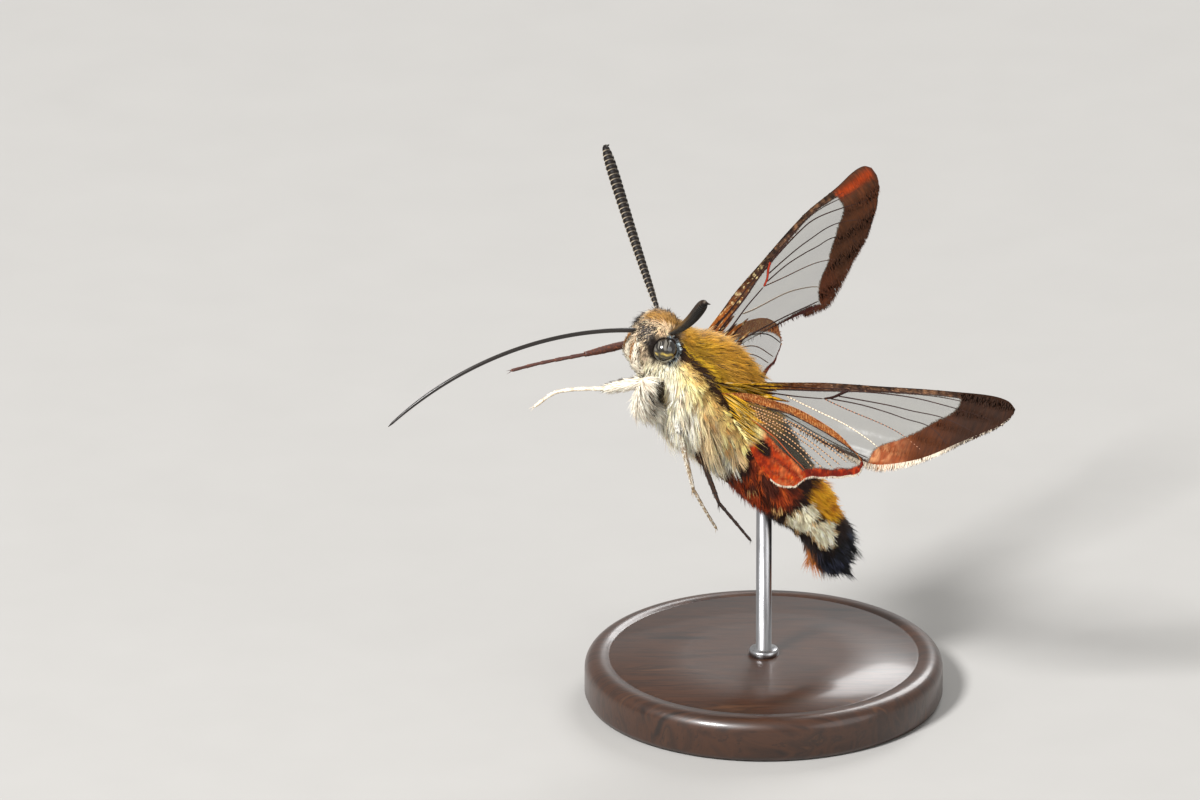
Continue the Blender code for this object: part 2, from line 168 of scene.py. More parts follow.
class Wire:  # a socket; python's own signs on wires add Math nodes
    def __init__(self, tree, socket=None):
        self.tree = tree
        self.socket = socket

    def node(self, kind, settings=None, inputs=None, out=0):
        made = self.tree.nodes.new("ShaderNode" + kind)
        for name, value in (settings or {}).items():
            if name == "stops":
                setStops(made.color_ramp, value)
            else:
                setattr(made, name, value)
        for name, value in (inputs or {}).items():
            if isinstance(value, Wire):
                self.tree.links.new(value.socket, made.inputs[name])
            else:
                made.inputs[name].default_value = value
        return Wire(self.tree, made.outputs[out] if made.outputs else None)

    def maths(self, operation, *values):
        return self.node("Math", dict(operation=operation), dict(enumerate(values)))

    def __add__(self, other):
        return self.maths("ADD", self, other)

    __radd__ = __add__

    def __sub__(self, other):
        return self.maths("SUBTRACT", self, other)

    def __rsub__(self, other):
        return self.maths("SUBTRACT", other, self)

    def __mul__(self, other):
        return self.maths("MULTIPLY", self, other)

    __rmul__ = __mul__

    def clamped(self):
        return self.node("Clamp", None, {"Value": self})

    def mixed(self, first, second):  # this wire is how much of the second colour shows
        return self.node("Mix", dict(data_type="RGBA"), {0: self, 6: first, 7: second}, out=2)

    def shaded(self, shade):  # this colour times another
        return self.node("Mix", dict(data_type="RGBA", blend_type="MULTIPLY"),
                         {0: 1.0, 6: self, 7: shade}, out=2)


def setStops(colorRamp, stops):
    while len(colorRamp.elements) < len(stops):
        colorRamp.elements.new(0.5)
    for element, (place, code) in zip(colorRamp.elements, stops):
        element.position = place
        element.color = opaque(code)


def startMaterial(name):
    material = bpy.data.materials.new(name)
    material.use_nodes = True
    material.node_tree.nodes.clear()
    return material, Wire(material.node_tree)


def finishMaterial(material, tree, inputs):
    tree.node("OutputMaterial", None, {"Surface": tree.node("BsdfPrincipled", None, inputs)})
    return material


def objectSpot(tree):
    return tree.node("TexCoord", out=3)


def stored(tree, name, out=0):  # a value that the mesh keeps for each point
    return tree.node("Attribute", dict(attribute_name=name), out=out)


def stretched(tree, spot, scale, turn=0.0):
    return tree.node("Mapping", None, {"Vector": spot, "Scale": scale, "Rotation": (0, 0, turn)})


def noiseOn(tree, spot, scale, detail, distortion=0.0):
    return tree.node("TexNoise", None,
                     {"Vector": spot, "Scale": scale, "Detail": detail, "Distortion": distortion})


def grainOf(tree, size, detail):  # noise with lumps of that size in mm
    return noiseOn(tree, objectSpot(tree), 1 / (size * mm), detail)


def bumpFrom(tree, height, distance, strength=1.0):
    return tree.node("Bump", None, {"Strength": strength, "Distance": distance * mm, "Height": height})


def coatMaterial(name, roughness, sheen):
    material, tree = startMaterial(name)
    grain = grainOf(tree, 0.05, 3.0)
    return finishMaterial(material, tree, {
        "Base Color": stored(tree, "tint").shaded(grain.mixed(grey(0.78), grey(1.22))),
        "Roughness": roughness, "Sheen Weight": sheen, "Sheen Roughness": 0.4, "Specular IOR Level": 0.22,
        "Normal": bumpFrom(tree, grain, 0.01, 0.4)})


def outward(points, groups):  # turns the faces over if they look inward
    volume = 0.0
    for group in groups:
        for k in range(1, group.shape[1] - 1):
            first, second, third = points[group[:, 0]], points[group[:, k]], points[group[:, k + 1]]
            volume += (first * np.cross(second, third)).sum()
    return groups if volume > 0 else [group[:, ::-1] for group in groups]


def makePiece(name, points, faces, material, replaced=(), values=None, patches=None, normals=None):
    mesh = bpy.data.meshes.new(name)
    groups = outward(np.asarray(points), faces)
    corners = np.concatenate([group.ravel() for group in groups])
    sizes = np.concatenate([np.full(len(group), group.shape[1]) for group in groups])
    starts = np.concatenate([[0], np.cumsum(sizes)[:-1]])
    mesh.vertices.add(len(points))
    mesh.vertices.foreach_set("co", np.asarray(points, np.float32).ravel())
    mesh.loops.add(len(corners))
    mesh.loops.foreach_set("vertex_index", corners.astype(np.int32))
    mesh.polygons.add(len(sizes))
    mesh.polygons.foreach_set("loop_start", starts.astype(np.int32))
    mesh.update(calc_edges=True)
    for key, value in (values or {}).items():
        if np.ndim(value) == 2:
            layer = mesh.color_attributes.new(key, "FLOAT_COLOR", "POINT")
            rows = np.column_stack([value, np.ones(len(value))])
            layer.data.foreach_set("color", rows.astype(np.float32).ravel())
        else:
            layer = mesh.attributes.new(key, "FLOAT", "POINT")
            layer.data.foreach_set("value", np.asarray(value, np.float32))
    if patches is not None:
        layer = mesh.uv_layers.new(name="OFBake")
        layer.data.foreach_set("uv", patches[corners].astype(np.float32).ravel())
    mesh.shade_smooth()
    if normals is not None:
        mesh.normals_split_custom_set_from_vertices(normals)
    mesh.materials.append(material)
    piece = bpy.data.objects.new(name, mesh)
    bpy.context.scene.collection.objects.link(piece)
    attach(piece, "root")
    if replaced:
        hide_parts(*replaced)


def gridFaces(rows, columns, wrap=True):  # faces between rows of rings, each of that many columns
    r = np.arange(rows - 1)[:, None]
    c = np.arange(columns if wrap else columns - 1)[None, :]
    n = (c + 1) % columns
    quads = [r * columns + c, r * columns + n, (r + 1) * columns + n, (r + 1) * columns + c]
    return np.stack([np.broadcast_to(q, (rows - 1, c.shape[1])) for q in quads], -1).reshape(-1, 4)


def closedRings(rings, firstTip, lastTip):  # rings (rows, columns, 3) closed by a point at each end
    rows, columns = rings.shape[:2]
    points = np.concatenate([rings.reshape(-1, 3), [firstTip], [lastTip]])
    c = np.arange(columns)
    n = (c + 1) % columns
    top = (rows - 1) * columns
    first = np.stack([n, c, np.full(columns, rows * columns)], -1)
    last = np.stack([top + c, top + n, np.full(columns, rows * columns + 1)], -1)
    return points, [gridFaces(rows, columns), np.concatenate([first, last])]


def tubeRings(path, radii, sides, squash=1.0, around=(0, 0, 1)):
    alongPath = unit(np.gradient(path, axis=0))
    side = np.zeros_like(path)
    start = np.array(around, float)
    for k, along in enumerate(alongPath):
        start = unit(start - along * start.dot(along))
        side[k] = start
    other = np.cross(alongPath, side)
    angle = ringAngles(sides)[:, None]
    radii = radii[:, None] if radii.ndim == 1 else radii
    out = np.cos(angle) * side[:, None] + squash * np.sin(angle) * other[:, None]
    return path[:, None] + radii[..., None] * out


def tube(path, radii, sides, squash=1.0, around=(0, 0, 1)):
    return closedRings(tubeRings(path, radii, sides, squash, around), path[0], path[-1])


def joined(parts):  # several (points, faces) as one
    points, faces, offset = [], [], 0
    for partPoints, partFaces in parts:
        points.append(partPoints)
        faces += [group + offset for group in partFaces]
        offset += len(partPoints)
    return np.concatenate(points), faces


# A hair or scale is a thin solid: a ring of three corners at its root, one at its middle, and a point.
hairShape = dict(
    shares=np.array([0.0, 0.5, 1.0]), girths=np.array([0.8, 0.95]), corners=np.radians([90, 210, 330]),
    sway=0.10, patchSize=0.0015, softness=0.85, rounding=0.5, pointCount=7,
    bands=gridFaces(2, 3)[:, ::-1], ends=np.array([[0, 1, 2], [4, 3, 6], [5, 4, 6], [3, 5, 6]]),
)


def patchAt(across, up):  # where a hair's colour lies in the bake, from two shares
    return 0.02 + 0.96 * np.stack([across, up], -1)


def hairPaths(hair):
    start = np.cos(hair["lift"])[:, None] * hair["lay"] + np.sin(hair["lift"])[:, None] * hair["normal"]
    fall = (hair["lay"] - start) * hair["droop"][:, None] + hair["sway"]
    t = hairShape["shares"][:, None]
    return hair["root"][:, None] + hair["length"][:, None, None] * (t * start[:, None] + t**2 * fall[:, None])


def findLocks(roots, size, rng):  # for each hair, the hair in the middle of its lock
    chosen = rng.choice(len(roots), max(1, len(roots) // size), replace=False)
    tree = kdtree.KDTree(len(chosen))
    for k, index in enumerate(chosen):
        tree.insert(roots[index], k)
    tree.balance()
    return chosen[[tree.find(root)[1] for root in roots]]


def growHairs(name, hair, material, seed, pull=0.3, flatness=0.6):
    rng = np.random.default_rng(seed)
    count = len(hair["root"])
    hair.setdefault("sway", rng.normal(0, hairShape["sway"], (count, 3)))
    path = hairPaths(hair)
    if "lock" in hair:  # hairs lean towards the tip of their lock
        lean = (hairShape["shares"]**1.5)[:, None] * pull * rng.uniform(0.5, 1.0, count)[:, None, None]
        path = path + (path[hair["lock"]] - path) * lean
    along = unit(path[:, 1:] - path[:, :-1])
    side = unit(np.cross(along, hair["normal"][:, None]))
    over = np.cross(side, along)
    angle = hairShape["corners"][:, None]
    ring = np.cos(angle) * side[:, :, None] + flatness * np.sin(angle) * over[:, :, None]
    girth = hair["width"][:, None] * hairShape["girths"] / 2
    rings = path[:, :-1, None] + girth[:, :, None, None] * ring
    points = np.concatenate([rings.reshape(count, -1, 3), path[:, -1:]], axis=1)
    share = np.append(np.repeat(hairShape["shares"][:-1], 3), 1.0)
    # colour runs from the root's tint to the tip's: painted shade at the root, painted light at the tip
    tint = blend(hair["tint"][:, None], hair["tip"][:, None], share * np.ones((count, 1)))
    sideways = np.array([-1, 0, 1, -1, 0, 1, 0])
    patch = hair["patch"][:, None] + hairShape["patchSize"] * np.stack([sideways, share * 2 - 1], -1)
    step = (np.arange(count) * hairShape["pointCount"])[:, None, None]
    faces = [(hairShape[part] + step).reshape(-1, hairShape[part].shape[1]) for part in ("bands", "ends")]
    # light falls on hairs much as it falls on the skin below, which keeps the coat soft
    soft = hair["normal"][:, None] * hairShape["softness"]
    soft = np.concatenate([ring.reshape(count, -1, 3) * hairShape["rounding"] + soft, soft], axis=1)
    makePiece(name, toWorld(points.reshape(-1, 3)), faces, material, (), dict(tint=tint.reshape(-1, 3)),
              patch.reshape(-1, 2), unit(soft.reshape(-1, 3)) @ bodyTurn.T)
    print(f"{name}: {count} hairs")


body = dict(
    # place along the body, top, bottom and half width of the coat, from the tail to the face
    outline=((-17.95, -1.20, -1.20, 0.0), (-17.75, -0.45, -1.95, 1.20), (-17.30, 0.15, -2.50, 1.90),
             (-16.40, 0.60, -2.78, 2.20), (-15.00, 1.15, -2.82, 2.25), (-13.60, 1.60, -2.45, 2.60),
             (-12.00, 1.95, -2.45, 2.90), (-9.80, 2.25, -2.90, 2.95), (-7.50, 2.70, -3.20, 2.90),
             (-5.00, 3.05, -3.25, 2.80), (-3.20, 3.55, -3.25, 2.95), (-1.60, 4.05, -3.60, 3.30),
             (0.20, 4.20, -3.80, 3.40), (1.80, 3.95, -3.60, 3.20), (3.10, 3.40, -3.15, 2.85),
             (4.10, 2.75, -2.65, 2.35), (5.10, 2.40, -2.15, 2.05), (6.10, 2.20, -1.75, 1.80),
             (6.85, 1.75, -1.05, 1.35), (7.30, 0.95, -0.25, 0.55), (7.42, 0.35, 0.35, 0.0)),
    # depth of the coat along the body
    coatDepth=((-17.95, 1.9), (-16.4, 1.20), (-15.0, 0.80), (-13.6, 0.72), (-11.0, 0.70), (-7.5, 0.70),
               (-4.6, 0.75), (-3.2, 0.80), (0.2, 0.85), (3.1, 0.75), (4.1, 0.62), (5.1, 0.42), (6.2, 0.36),
               (7.42, 0.36)),
    neck=4.05, neckDepth=0.12, neckWidth=0.40,
    rings=(-4.2, -5.9, -7.6, -9.3, -11.0, -12.7, -14.2), ringDepth=0.12, ringWidth=0.16,
    skinRows=340, skinSides=120, skinShade=0.75,
    solids=("head", "thorax", "abdomen_front", "abdomen_middle", "abdomen_rear", "tail_brush"),
)
bodyOutline = np.array(body["outline"])
bodyLength = reachOf(bodyOutline)[-1]
denseReach = np.linspace(0, bodyLength, 2000)
denseShape = smoothKeys(np.column_stack([reachOf(bodyOutline), bodyOutline]), denseReach)


def outlinePoint(reach, turn):
    x, top, bottom, half = (np.interp(reach, denseReach, column) for column in denseShape.T)
    half = np.maximum(half, 0)
    return np.stack([x, half * np.cos(turn), (top + bottom) / 2 + (top - bottom) / 2 * np.sin(turn)], -1)


def latitudeOf(turn):  # degrees above the middle of the side, from -90 below to 90 on top
    return np.degrees(np.arcsin(np.sin(turn)))


def skinSurface(reach, turn):  # points of the skin, and which way is out
    step = 0.02
    reach = np.clip(reach, step, bodyLength - step)
    along = outlinePoint(reach + step, turn) - outlinePoint(reach - step, turn)
    around = outlinePoint(reach, turn + step) - outlinePoint(reach, turn - step)
    normal = unit(np.cross(around, along))
    point = outlinePoint(reach, turn)
    x = point[..., 0]
    depth = smoothKeys(body["coatDepth"], x)
    depth = depth - 0.18 * ramp(-np.sin(turn), 0.2, 0.9) * bell(x, -0.5, 3.5)  # a fuller belly
    depth = depth + body["neckDepth"] * bell(x, body["neck"], body["neckWidth"])
    for ringPlace in body["rings"]:
        depth = depth + body["ringDepth"] * bell(x, ringPlace, body["ringWidth"])
    return point - normal * depth[..., None], normal


bothSides = ("left", "right")
eyes = {}
for side in bothSides:
    low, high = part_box("eye_" + side)
    eyes[side] = dict(centre=toBody((low + high) / 2), radius=(high - low).z / mm / 2)

tints = palette(
    crown="a47a40", crownPale="dcba8a", frons="ccb698", bristle="1c120c", palp="fff0d8", palpEdge="a06c38",
    ash="7c644c", brow="e8c8a0", blueWhite="d8ecf4", cheek="fff0cc", throat="fbd27c", golden="c48c28",
    goldenPale="dca43c", olive="b48c14", yellow="e0b022", stripe="2a1606", stripeEdge="7a5216",
    cream="fadc9c", white="fff0d4", lockShade="c8a060", maroon="8c2e0a", redBrown="c4541a",
    darkBrown="200f08", band="2c1008", orange="f2a81e", orangeDeep="a8620c", tuft="fff0ca",
    tuftEdge="d0a468", black="0a090c", blackSheen="3a4054", tailOrange="b0641e",
)
stripeShape = dict(  # the dark stripe from the feeler's root past the eye to the wing's root
    latitudes=((-3.0, 6), (-1.95, 8), (-0.69, 10), (0.89, 11.5), (2.57, 16.5), (3.87, 22), (4.82, 28),
               (5.7, 35)),
    halfWidths=((-2.6, 0.4), (-1.0, 4.2), (1.0, 5.4), (3.0, 5.8), (4.4, 7.5), (5.6, 9.0)), edge=1.2,
)


def nearEye(points):  # distance from the nearest eye in radii, and how far behind it (-1 to 1)
    gaps, behinds = [], []
    for side, eye in eyes.items():
        reach = points - eye["centre"]
        gaps.append(np.linalg.norm(reach, axis=-1) / eye["radius"])
        behinds.append(unit(reach) @ mirrored((-0.58, 0.28, 0.76), side))
    return np.minimum(*gaps), np.where(gaps[0] < gaps[1], *behinds)


# painted shade: the wedge behind the fore leg is painted dark where the chest lies in shadow
def shadedHollow(points, latitude):  # the dark wedge behind the fore leg
    x = points[:, 0]
    wedge = ((1.9, -58, 0.1), (2.5, -50, 5.5), (3.2, -44, 10), (3.9, -36, 13), (4.3, -34, 11))
    middle, half = smoothKeys(wedge, x).T
    return ramp(np.abs(latitude - middle), half + 3, half - 2) * ramp(x, 1.9, 2.4) * ramp(x, 4.25, 4.0)


def thoraxTint(points, where, x, fromStripe, lumps, fine):
    # back: yellow-green by the stripe, golden above
    olive = np.maximum(ramp(fromStripe, 30, 8) * 0.75, bell(x, 3.9, 0.9) * ramp(fromStripe, 60, 40) * 0.55)
    back = layered(tints["golden"], tints,
                   ("goldenPale", ramp(lumps + fine, -0.1, 0.5)),
                   ("olive", olive * ramp(x, -4.4, -2.5) * ramp(x, 5.0, 4.0)),
                   ("yellow", bell(fromStripe, 8.5, 3) * 0.8 * ramp(x, -4, -2)))
    # below the stripe: yellow cream, then white, in long hanging sheets; the golden brown and thin dark lines
    # between them are painted shade
    across, along = points[:, 2] - 0.6 * points[:, 0], points[:, 0] + 0.6 * points[:, 2]
    sheets = softNoise(np.stack([across, points[:, 1] * 0.6, along * 0.20], -1), 0.95, 21) - 0.5
    thin = softNoise(np.stack([across, points[:, 1], along * 0.16], -1), 0.17, 22) - 0.5
    low = ramp(where, 3.2, 1.8)
    sheetGapShade = np.maximum(ramp(sheets, 0.03, 0.18) * ramp(where, 1.3, 0.2), ramp(thin, 0.10, 0.25) * 0.8)
    edging = ramp(fromStripe, -15, -8) * np.clip(0.6 + 2 * thin, 0, 1) * ramp(x, 4.6, 3.6) * ramp(x, 0.8, 2.0)
    pale = layered(tints["throat"], tints,
                   ("cream", ramp(fromStripe, -8, -22)),
                   ("white", ramp(fromStripe + 6 * lumps, -16, -38)),
                   ("throat", ramp(sheets, -0.02, -0.25) * 0.6),
                   ("lockShade", sheetGapShade * 0.6 * low),
                   ("stripeEdge", ramp(thin, 0.02, 0.2) * ramp(fromStripe, -30, -8) * 0.45 * low),
                   ("stripe", ramp(thin, 0.24, 0.32) * 0.8 * low),
                   ("stripeEdge", edging * 0.8))
    return blend(back * (1 - 0.12 * ramp(x, 1.5, 3.5))[:, None], pale, ramp(fromStripe, 2, -2))


def headTint(points, where, latitude, lumps, fine, stripe):
    # golden crown, white brow, white face with dark bristles, cream cheeks
    crown = layered(tints["crown"], tints,
                    ("crownPale", ramp(fine + lumps, 0.2, 0.6) * 0.6),
                    ("frons", ramp(where - 0.01 * (latitude - 60), 6.85, 7.15) * 0.8))
    gap, behind = nearEye(points)
    socket = ramp(behind, -0.30, -0.7) * ramp(gap, 1.70, 1.40) * ramp(latitude, -36, -24)
    folded = np.where([False, True, False], np.abs(points), points)
    fromFeeler = np.linalg.norm(folded - feelers["root"], axis=-1)
    return layered(tints["cheek"], tints,
                   ("frons", ramp(where, 4.9, 5.8)),
                   ("ash", ramp(where, 5.7, 6.2) * ramp(latitude, -66, -50) * ramp(fine, -0.3, 0.2) * 0.7),
                   ("brow", ramp(latitude, 6, 18)),
                   (crown, ramp(latitude, 40, 54)),
                   ("frons", ramp(where + 0.003 * latitude, 7.15, 7.35)),
                   ("ash", bell(where, 7.25, 0.25) * bell(latitude, -2, 14) * 0.8),
                   ("blueWhite", ramp(behind, 0.0, 0.4) * ramp(gap, 1.26, 1.18)),
                   ("bristle", np.maximum(socket, ramp(gap, 1.16, 1.08))),
                   ("stripe", stripe * ramp(gap, 1.16, 1.24) * ramp(where, 6.0, 5.7)),
                   ("stripe", ramp(fromFeeler, 0.85, 0.55) * ramp(where, 5.65, 5.45) * 0.9))


def abdomenTint(x, latitude, lumps, fine):
    # red-brown and black below, golden then dark above, orange near the tail, cream tufts on the sides
    under = layered(tints["maroon"], tints,
                    ("redBrown", ramp(fine, -0.05, 0.35)),
                    ("darkBrown", ramp(lumps - fine * 0.5, -0.04, 0.16) * 0.85),
                    ("darkBrown", np.maximum(ramp(x, -8.4, -9.4), bell(x, -4.5, 0.9) * 0.9)))
    orange = blend(tints["orange"], tints["orangeDeep"], ramp(lumps - fine, -0.1, 0.4))
    over = layered(tints["golden"] * 0.8, tints,
                   (tints["olive"] * 0.8, ramp(fine, -0.2, 0.3)),
                   ("band", ramp(x, -4.3, -5.0)),
                   (orange, ramp(x, -9.3, -9.9)),
                   ("darkBrown", ramp(x + 0.012 * (latitude - 60), -12.3, -12.9)))
    firstLobe = 1 - ((x + 10.45 - 0.008 * latitude) / 1.1) ** 2 - ((latitude + 15) / 40) ** 2
    secondLobe = 1 - ((x + 12.60) / 1.1) ** 2 - ((latitude + 3) / 38) ** 2
    lobes = np.maximum(firstLobe, secondLobe)
    tuft = ramp(lobes, 0.0, 0.12)
    # the tuft's edges and the gap between its lobes are painted shade in a tan tone; the streaks below are
    # real tan tufts
    tuftTint = blend(tints["tuft"], tints["tuftEdge"], ramp(lobes + fine, 0.35, 0.0))
    streaks = np.maximum(bell(x, -8.75, 0.40) * bell(latitude, -30, 11),
                         bell(x, -6.6, 0.4) * bell(latitude, -37, 7))
    tail = layered(tints["black"], tints,
                   ("blackSheen", ramp(fine, 0.0, 0.4)),
                   ("tailOrange", ramp(latitude, -56, -72) * ramp(x, -15.6, -14.8)))
    return layered(under, tints,
                   (over, ramp(latitude, 14, 28) * ramp(x, -3.8, -4.6)),
                   (tuftTint, tuft),
                   ("tuftEdge", ramp(streaks * (0.8 + 1.2 * fine), 0.28, 0.42) * 0.95),
                   (tail, ramp(x, -13.7, -14.1) * (1 - tuft)))


def markings(points, turn, rng=None):  # colours of skin and coat, the same left and right
    x = where = points[:, 0]
    lumps = softNoise(points, 0.7, 3) - 0.5
    fine = softNoise(points, 0.22, 5) - 0.5
    latitude = latitudeOf(turn)
    if rng is not None:
        latitude = latitude + rng.normal(0, 1.2, len(x))
        x = x + rng.normal(0, 0.08, len(x))
    fromStripe = latitude - smoothKeys(stripeShape["latitudes"], x) + 2 * lumps
    latitude = latitude + 7 * lumps
    x = x + 0.5 * lumps
    half, edge = smoothKeys(stripeShape["halfWidths"], x), stripeShape["edge"]
    stripe = ramp(np.abs(fromStripe), half + edge, half - edge) * ramp(x, -3.2, -2.0)
    collar = 0.95 * ramp(latitude, 24, 40)  # the collar reaches further forward on top
    return layered(thoraxTint(points, where, x, fromStripe, lumps, fine), tints,
                   (blend(tints["stripe"], tints["stripeEdge"], ramp(fine, 0.1, 0.4) * 0.5), stripe),
                   # painted shade in the hollow behind the fore leg
                   ("bristle", shadedHollow(points, latitude) * 0.95),
                   (headTint(points, where, latitude, lumps, fine, stripe), ramp(where - collar, 4.0, 4.35)),
                   (abdomenTint(x, latitude, lumps, fine), ramp(x, -3.9, -4.3)))


def buildSkin():
    reach = np.linspace(0.03, bodyLength - 0.03, body["skinRows"])
    reachGrid, turnGrid = np.meshgrid(reach, ringAngles(body["skinSides"]), indexing="ij")
    rings = skinSurface(reachGrid, turnGrid)[0]
    points, faces = closedRings(rings, rings[0].mean(0), rings[-1].mean(0))
    tint = markings(rings.reshape(-1, 3), turnGrid.ravel())
    # the skin under the coat is painted darker by skinShade, as painted shade between the hairs
    tint = np.concatenate([tint, tint[:1], tint[-1:]]) * body["skinShade"]
    material, tree = startMaterial("skin")
    fuzz = grainOf(tree, 0.12, 4.0)
    finishMaterial(material, tree, {
        "Base Color": stored(tree, "tint").shaded(fuzz.mixed(grey(0.55), grey(1.2))), "Roughness": 0.85,
        "Specular IOR Level": 0.2, "Normal": bumpFrom(tree, fuzz, 0.06)})
    makePiece("skin", toWorld(points), faces, material, body["solids"], dict(tint=tint))
    print("skin made")


coat = dict(
    # name: range along the body, range of latitude, hairs, slot, hairs in a lock, pull of a lock
    areas=dict(
        head=((4.05, 7.4), (-90, 90), 19600, "coat_golden", 6, 0.30),
        thoraxBack=((-4.4, 4.3), (12, 90), 19900, "coat_golden", 7, 0.35),
        thoraxFront=((0.2, 4.3), (-90, 12), 17500, "coat_pale", 22, 0.60),
        thoraxBelly=((-4.4, 0.2), (-90, 12), 17500, "coat_pale", 30, 0.65),
        abdomenFront=((-9.0, -4.2), (-90, 90), 16500, "coat_red", 12, 0.5),
        abdomenRear=((-14.2, -9.0), (-90, 90), 17500, "coat_dark", 14, 0.42),
        tail=((-17.2, -13.8), (-90, 90), 8000, "coat_black", 20, 0.5),
    ),
    lengths=((-17.0, 0.75), (-15.6, 1.25), (-14.2, 1.45), (-13.4, 0.85), (-10.0, 0.80), (-6.0, 0.92),
             (-4.2, 1.05), (-3.0, 1.10), (0.0, 1.10), (3.2, 0.90), (4.2, 0.66), (5.2, 0.44), (6.3, 0.42),
             (7.4, 0.42)),
    lifts=((-17.0, 6), (-15.0, 12), (-13.8, 24), (-11.0, 32), (-6.0, 30), (-3.0, 26), (0.0, 26), (4.0, 28),
           (5.5, 32), (6.6, 38), (7.4, 44)),
    widths=((-17.0, 0.066), (-14.0, 0.060), (-4.0, 0.060), (-3.0, 0.056), (3.0, 0.048), (4.3, 0.046),
            (7.4, 0.040)),
    eyeRoom=1.01, rootDepth=0.06, bristleLength=1.55, bristleLift=6,
    # some locks below are browned as painted shade between the locks
    brown=(0.62, 0.42, 0.26),  # what is left of a colour in the brown locks below
)


def scatterRoots(span, latitudes, count, rng):  # evenly over the skin's area
    reach = np.linspace(*np.interp(span, denseShape[:, 0], denseReach), 200)
    turn = ringAngles(240)
    reachGrid, turnGrid = np.meshgrid(reach, turn, indexing="ij")
    point = skinSurface(reachGrid, turnGrid)[0]
    along = np.gradient(point, axis=0)
    around = (np.roll(point, -1, 1) - np.roll(point, 1, 1)) / 2
    area = np.linalg.norm(np.cross(along, around), axis=-1)
    latitude = latitudeOf(turnGrid)
    area = area * (latitude >= latitudes[0]) * (latitude <= latitudes[1])
    chosen = rng.choice(area.size, count, p=area.ravel() / area.sum())
    return (reachGrid.ravel()[chosen] + rng.uniform(-0.5, 0.5, count) * (reach[1] - reach[0]),
            turnGrid.ravel()[chosen] + rng.uniform(-0.5, 0.5, count) * turn[1])


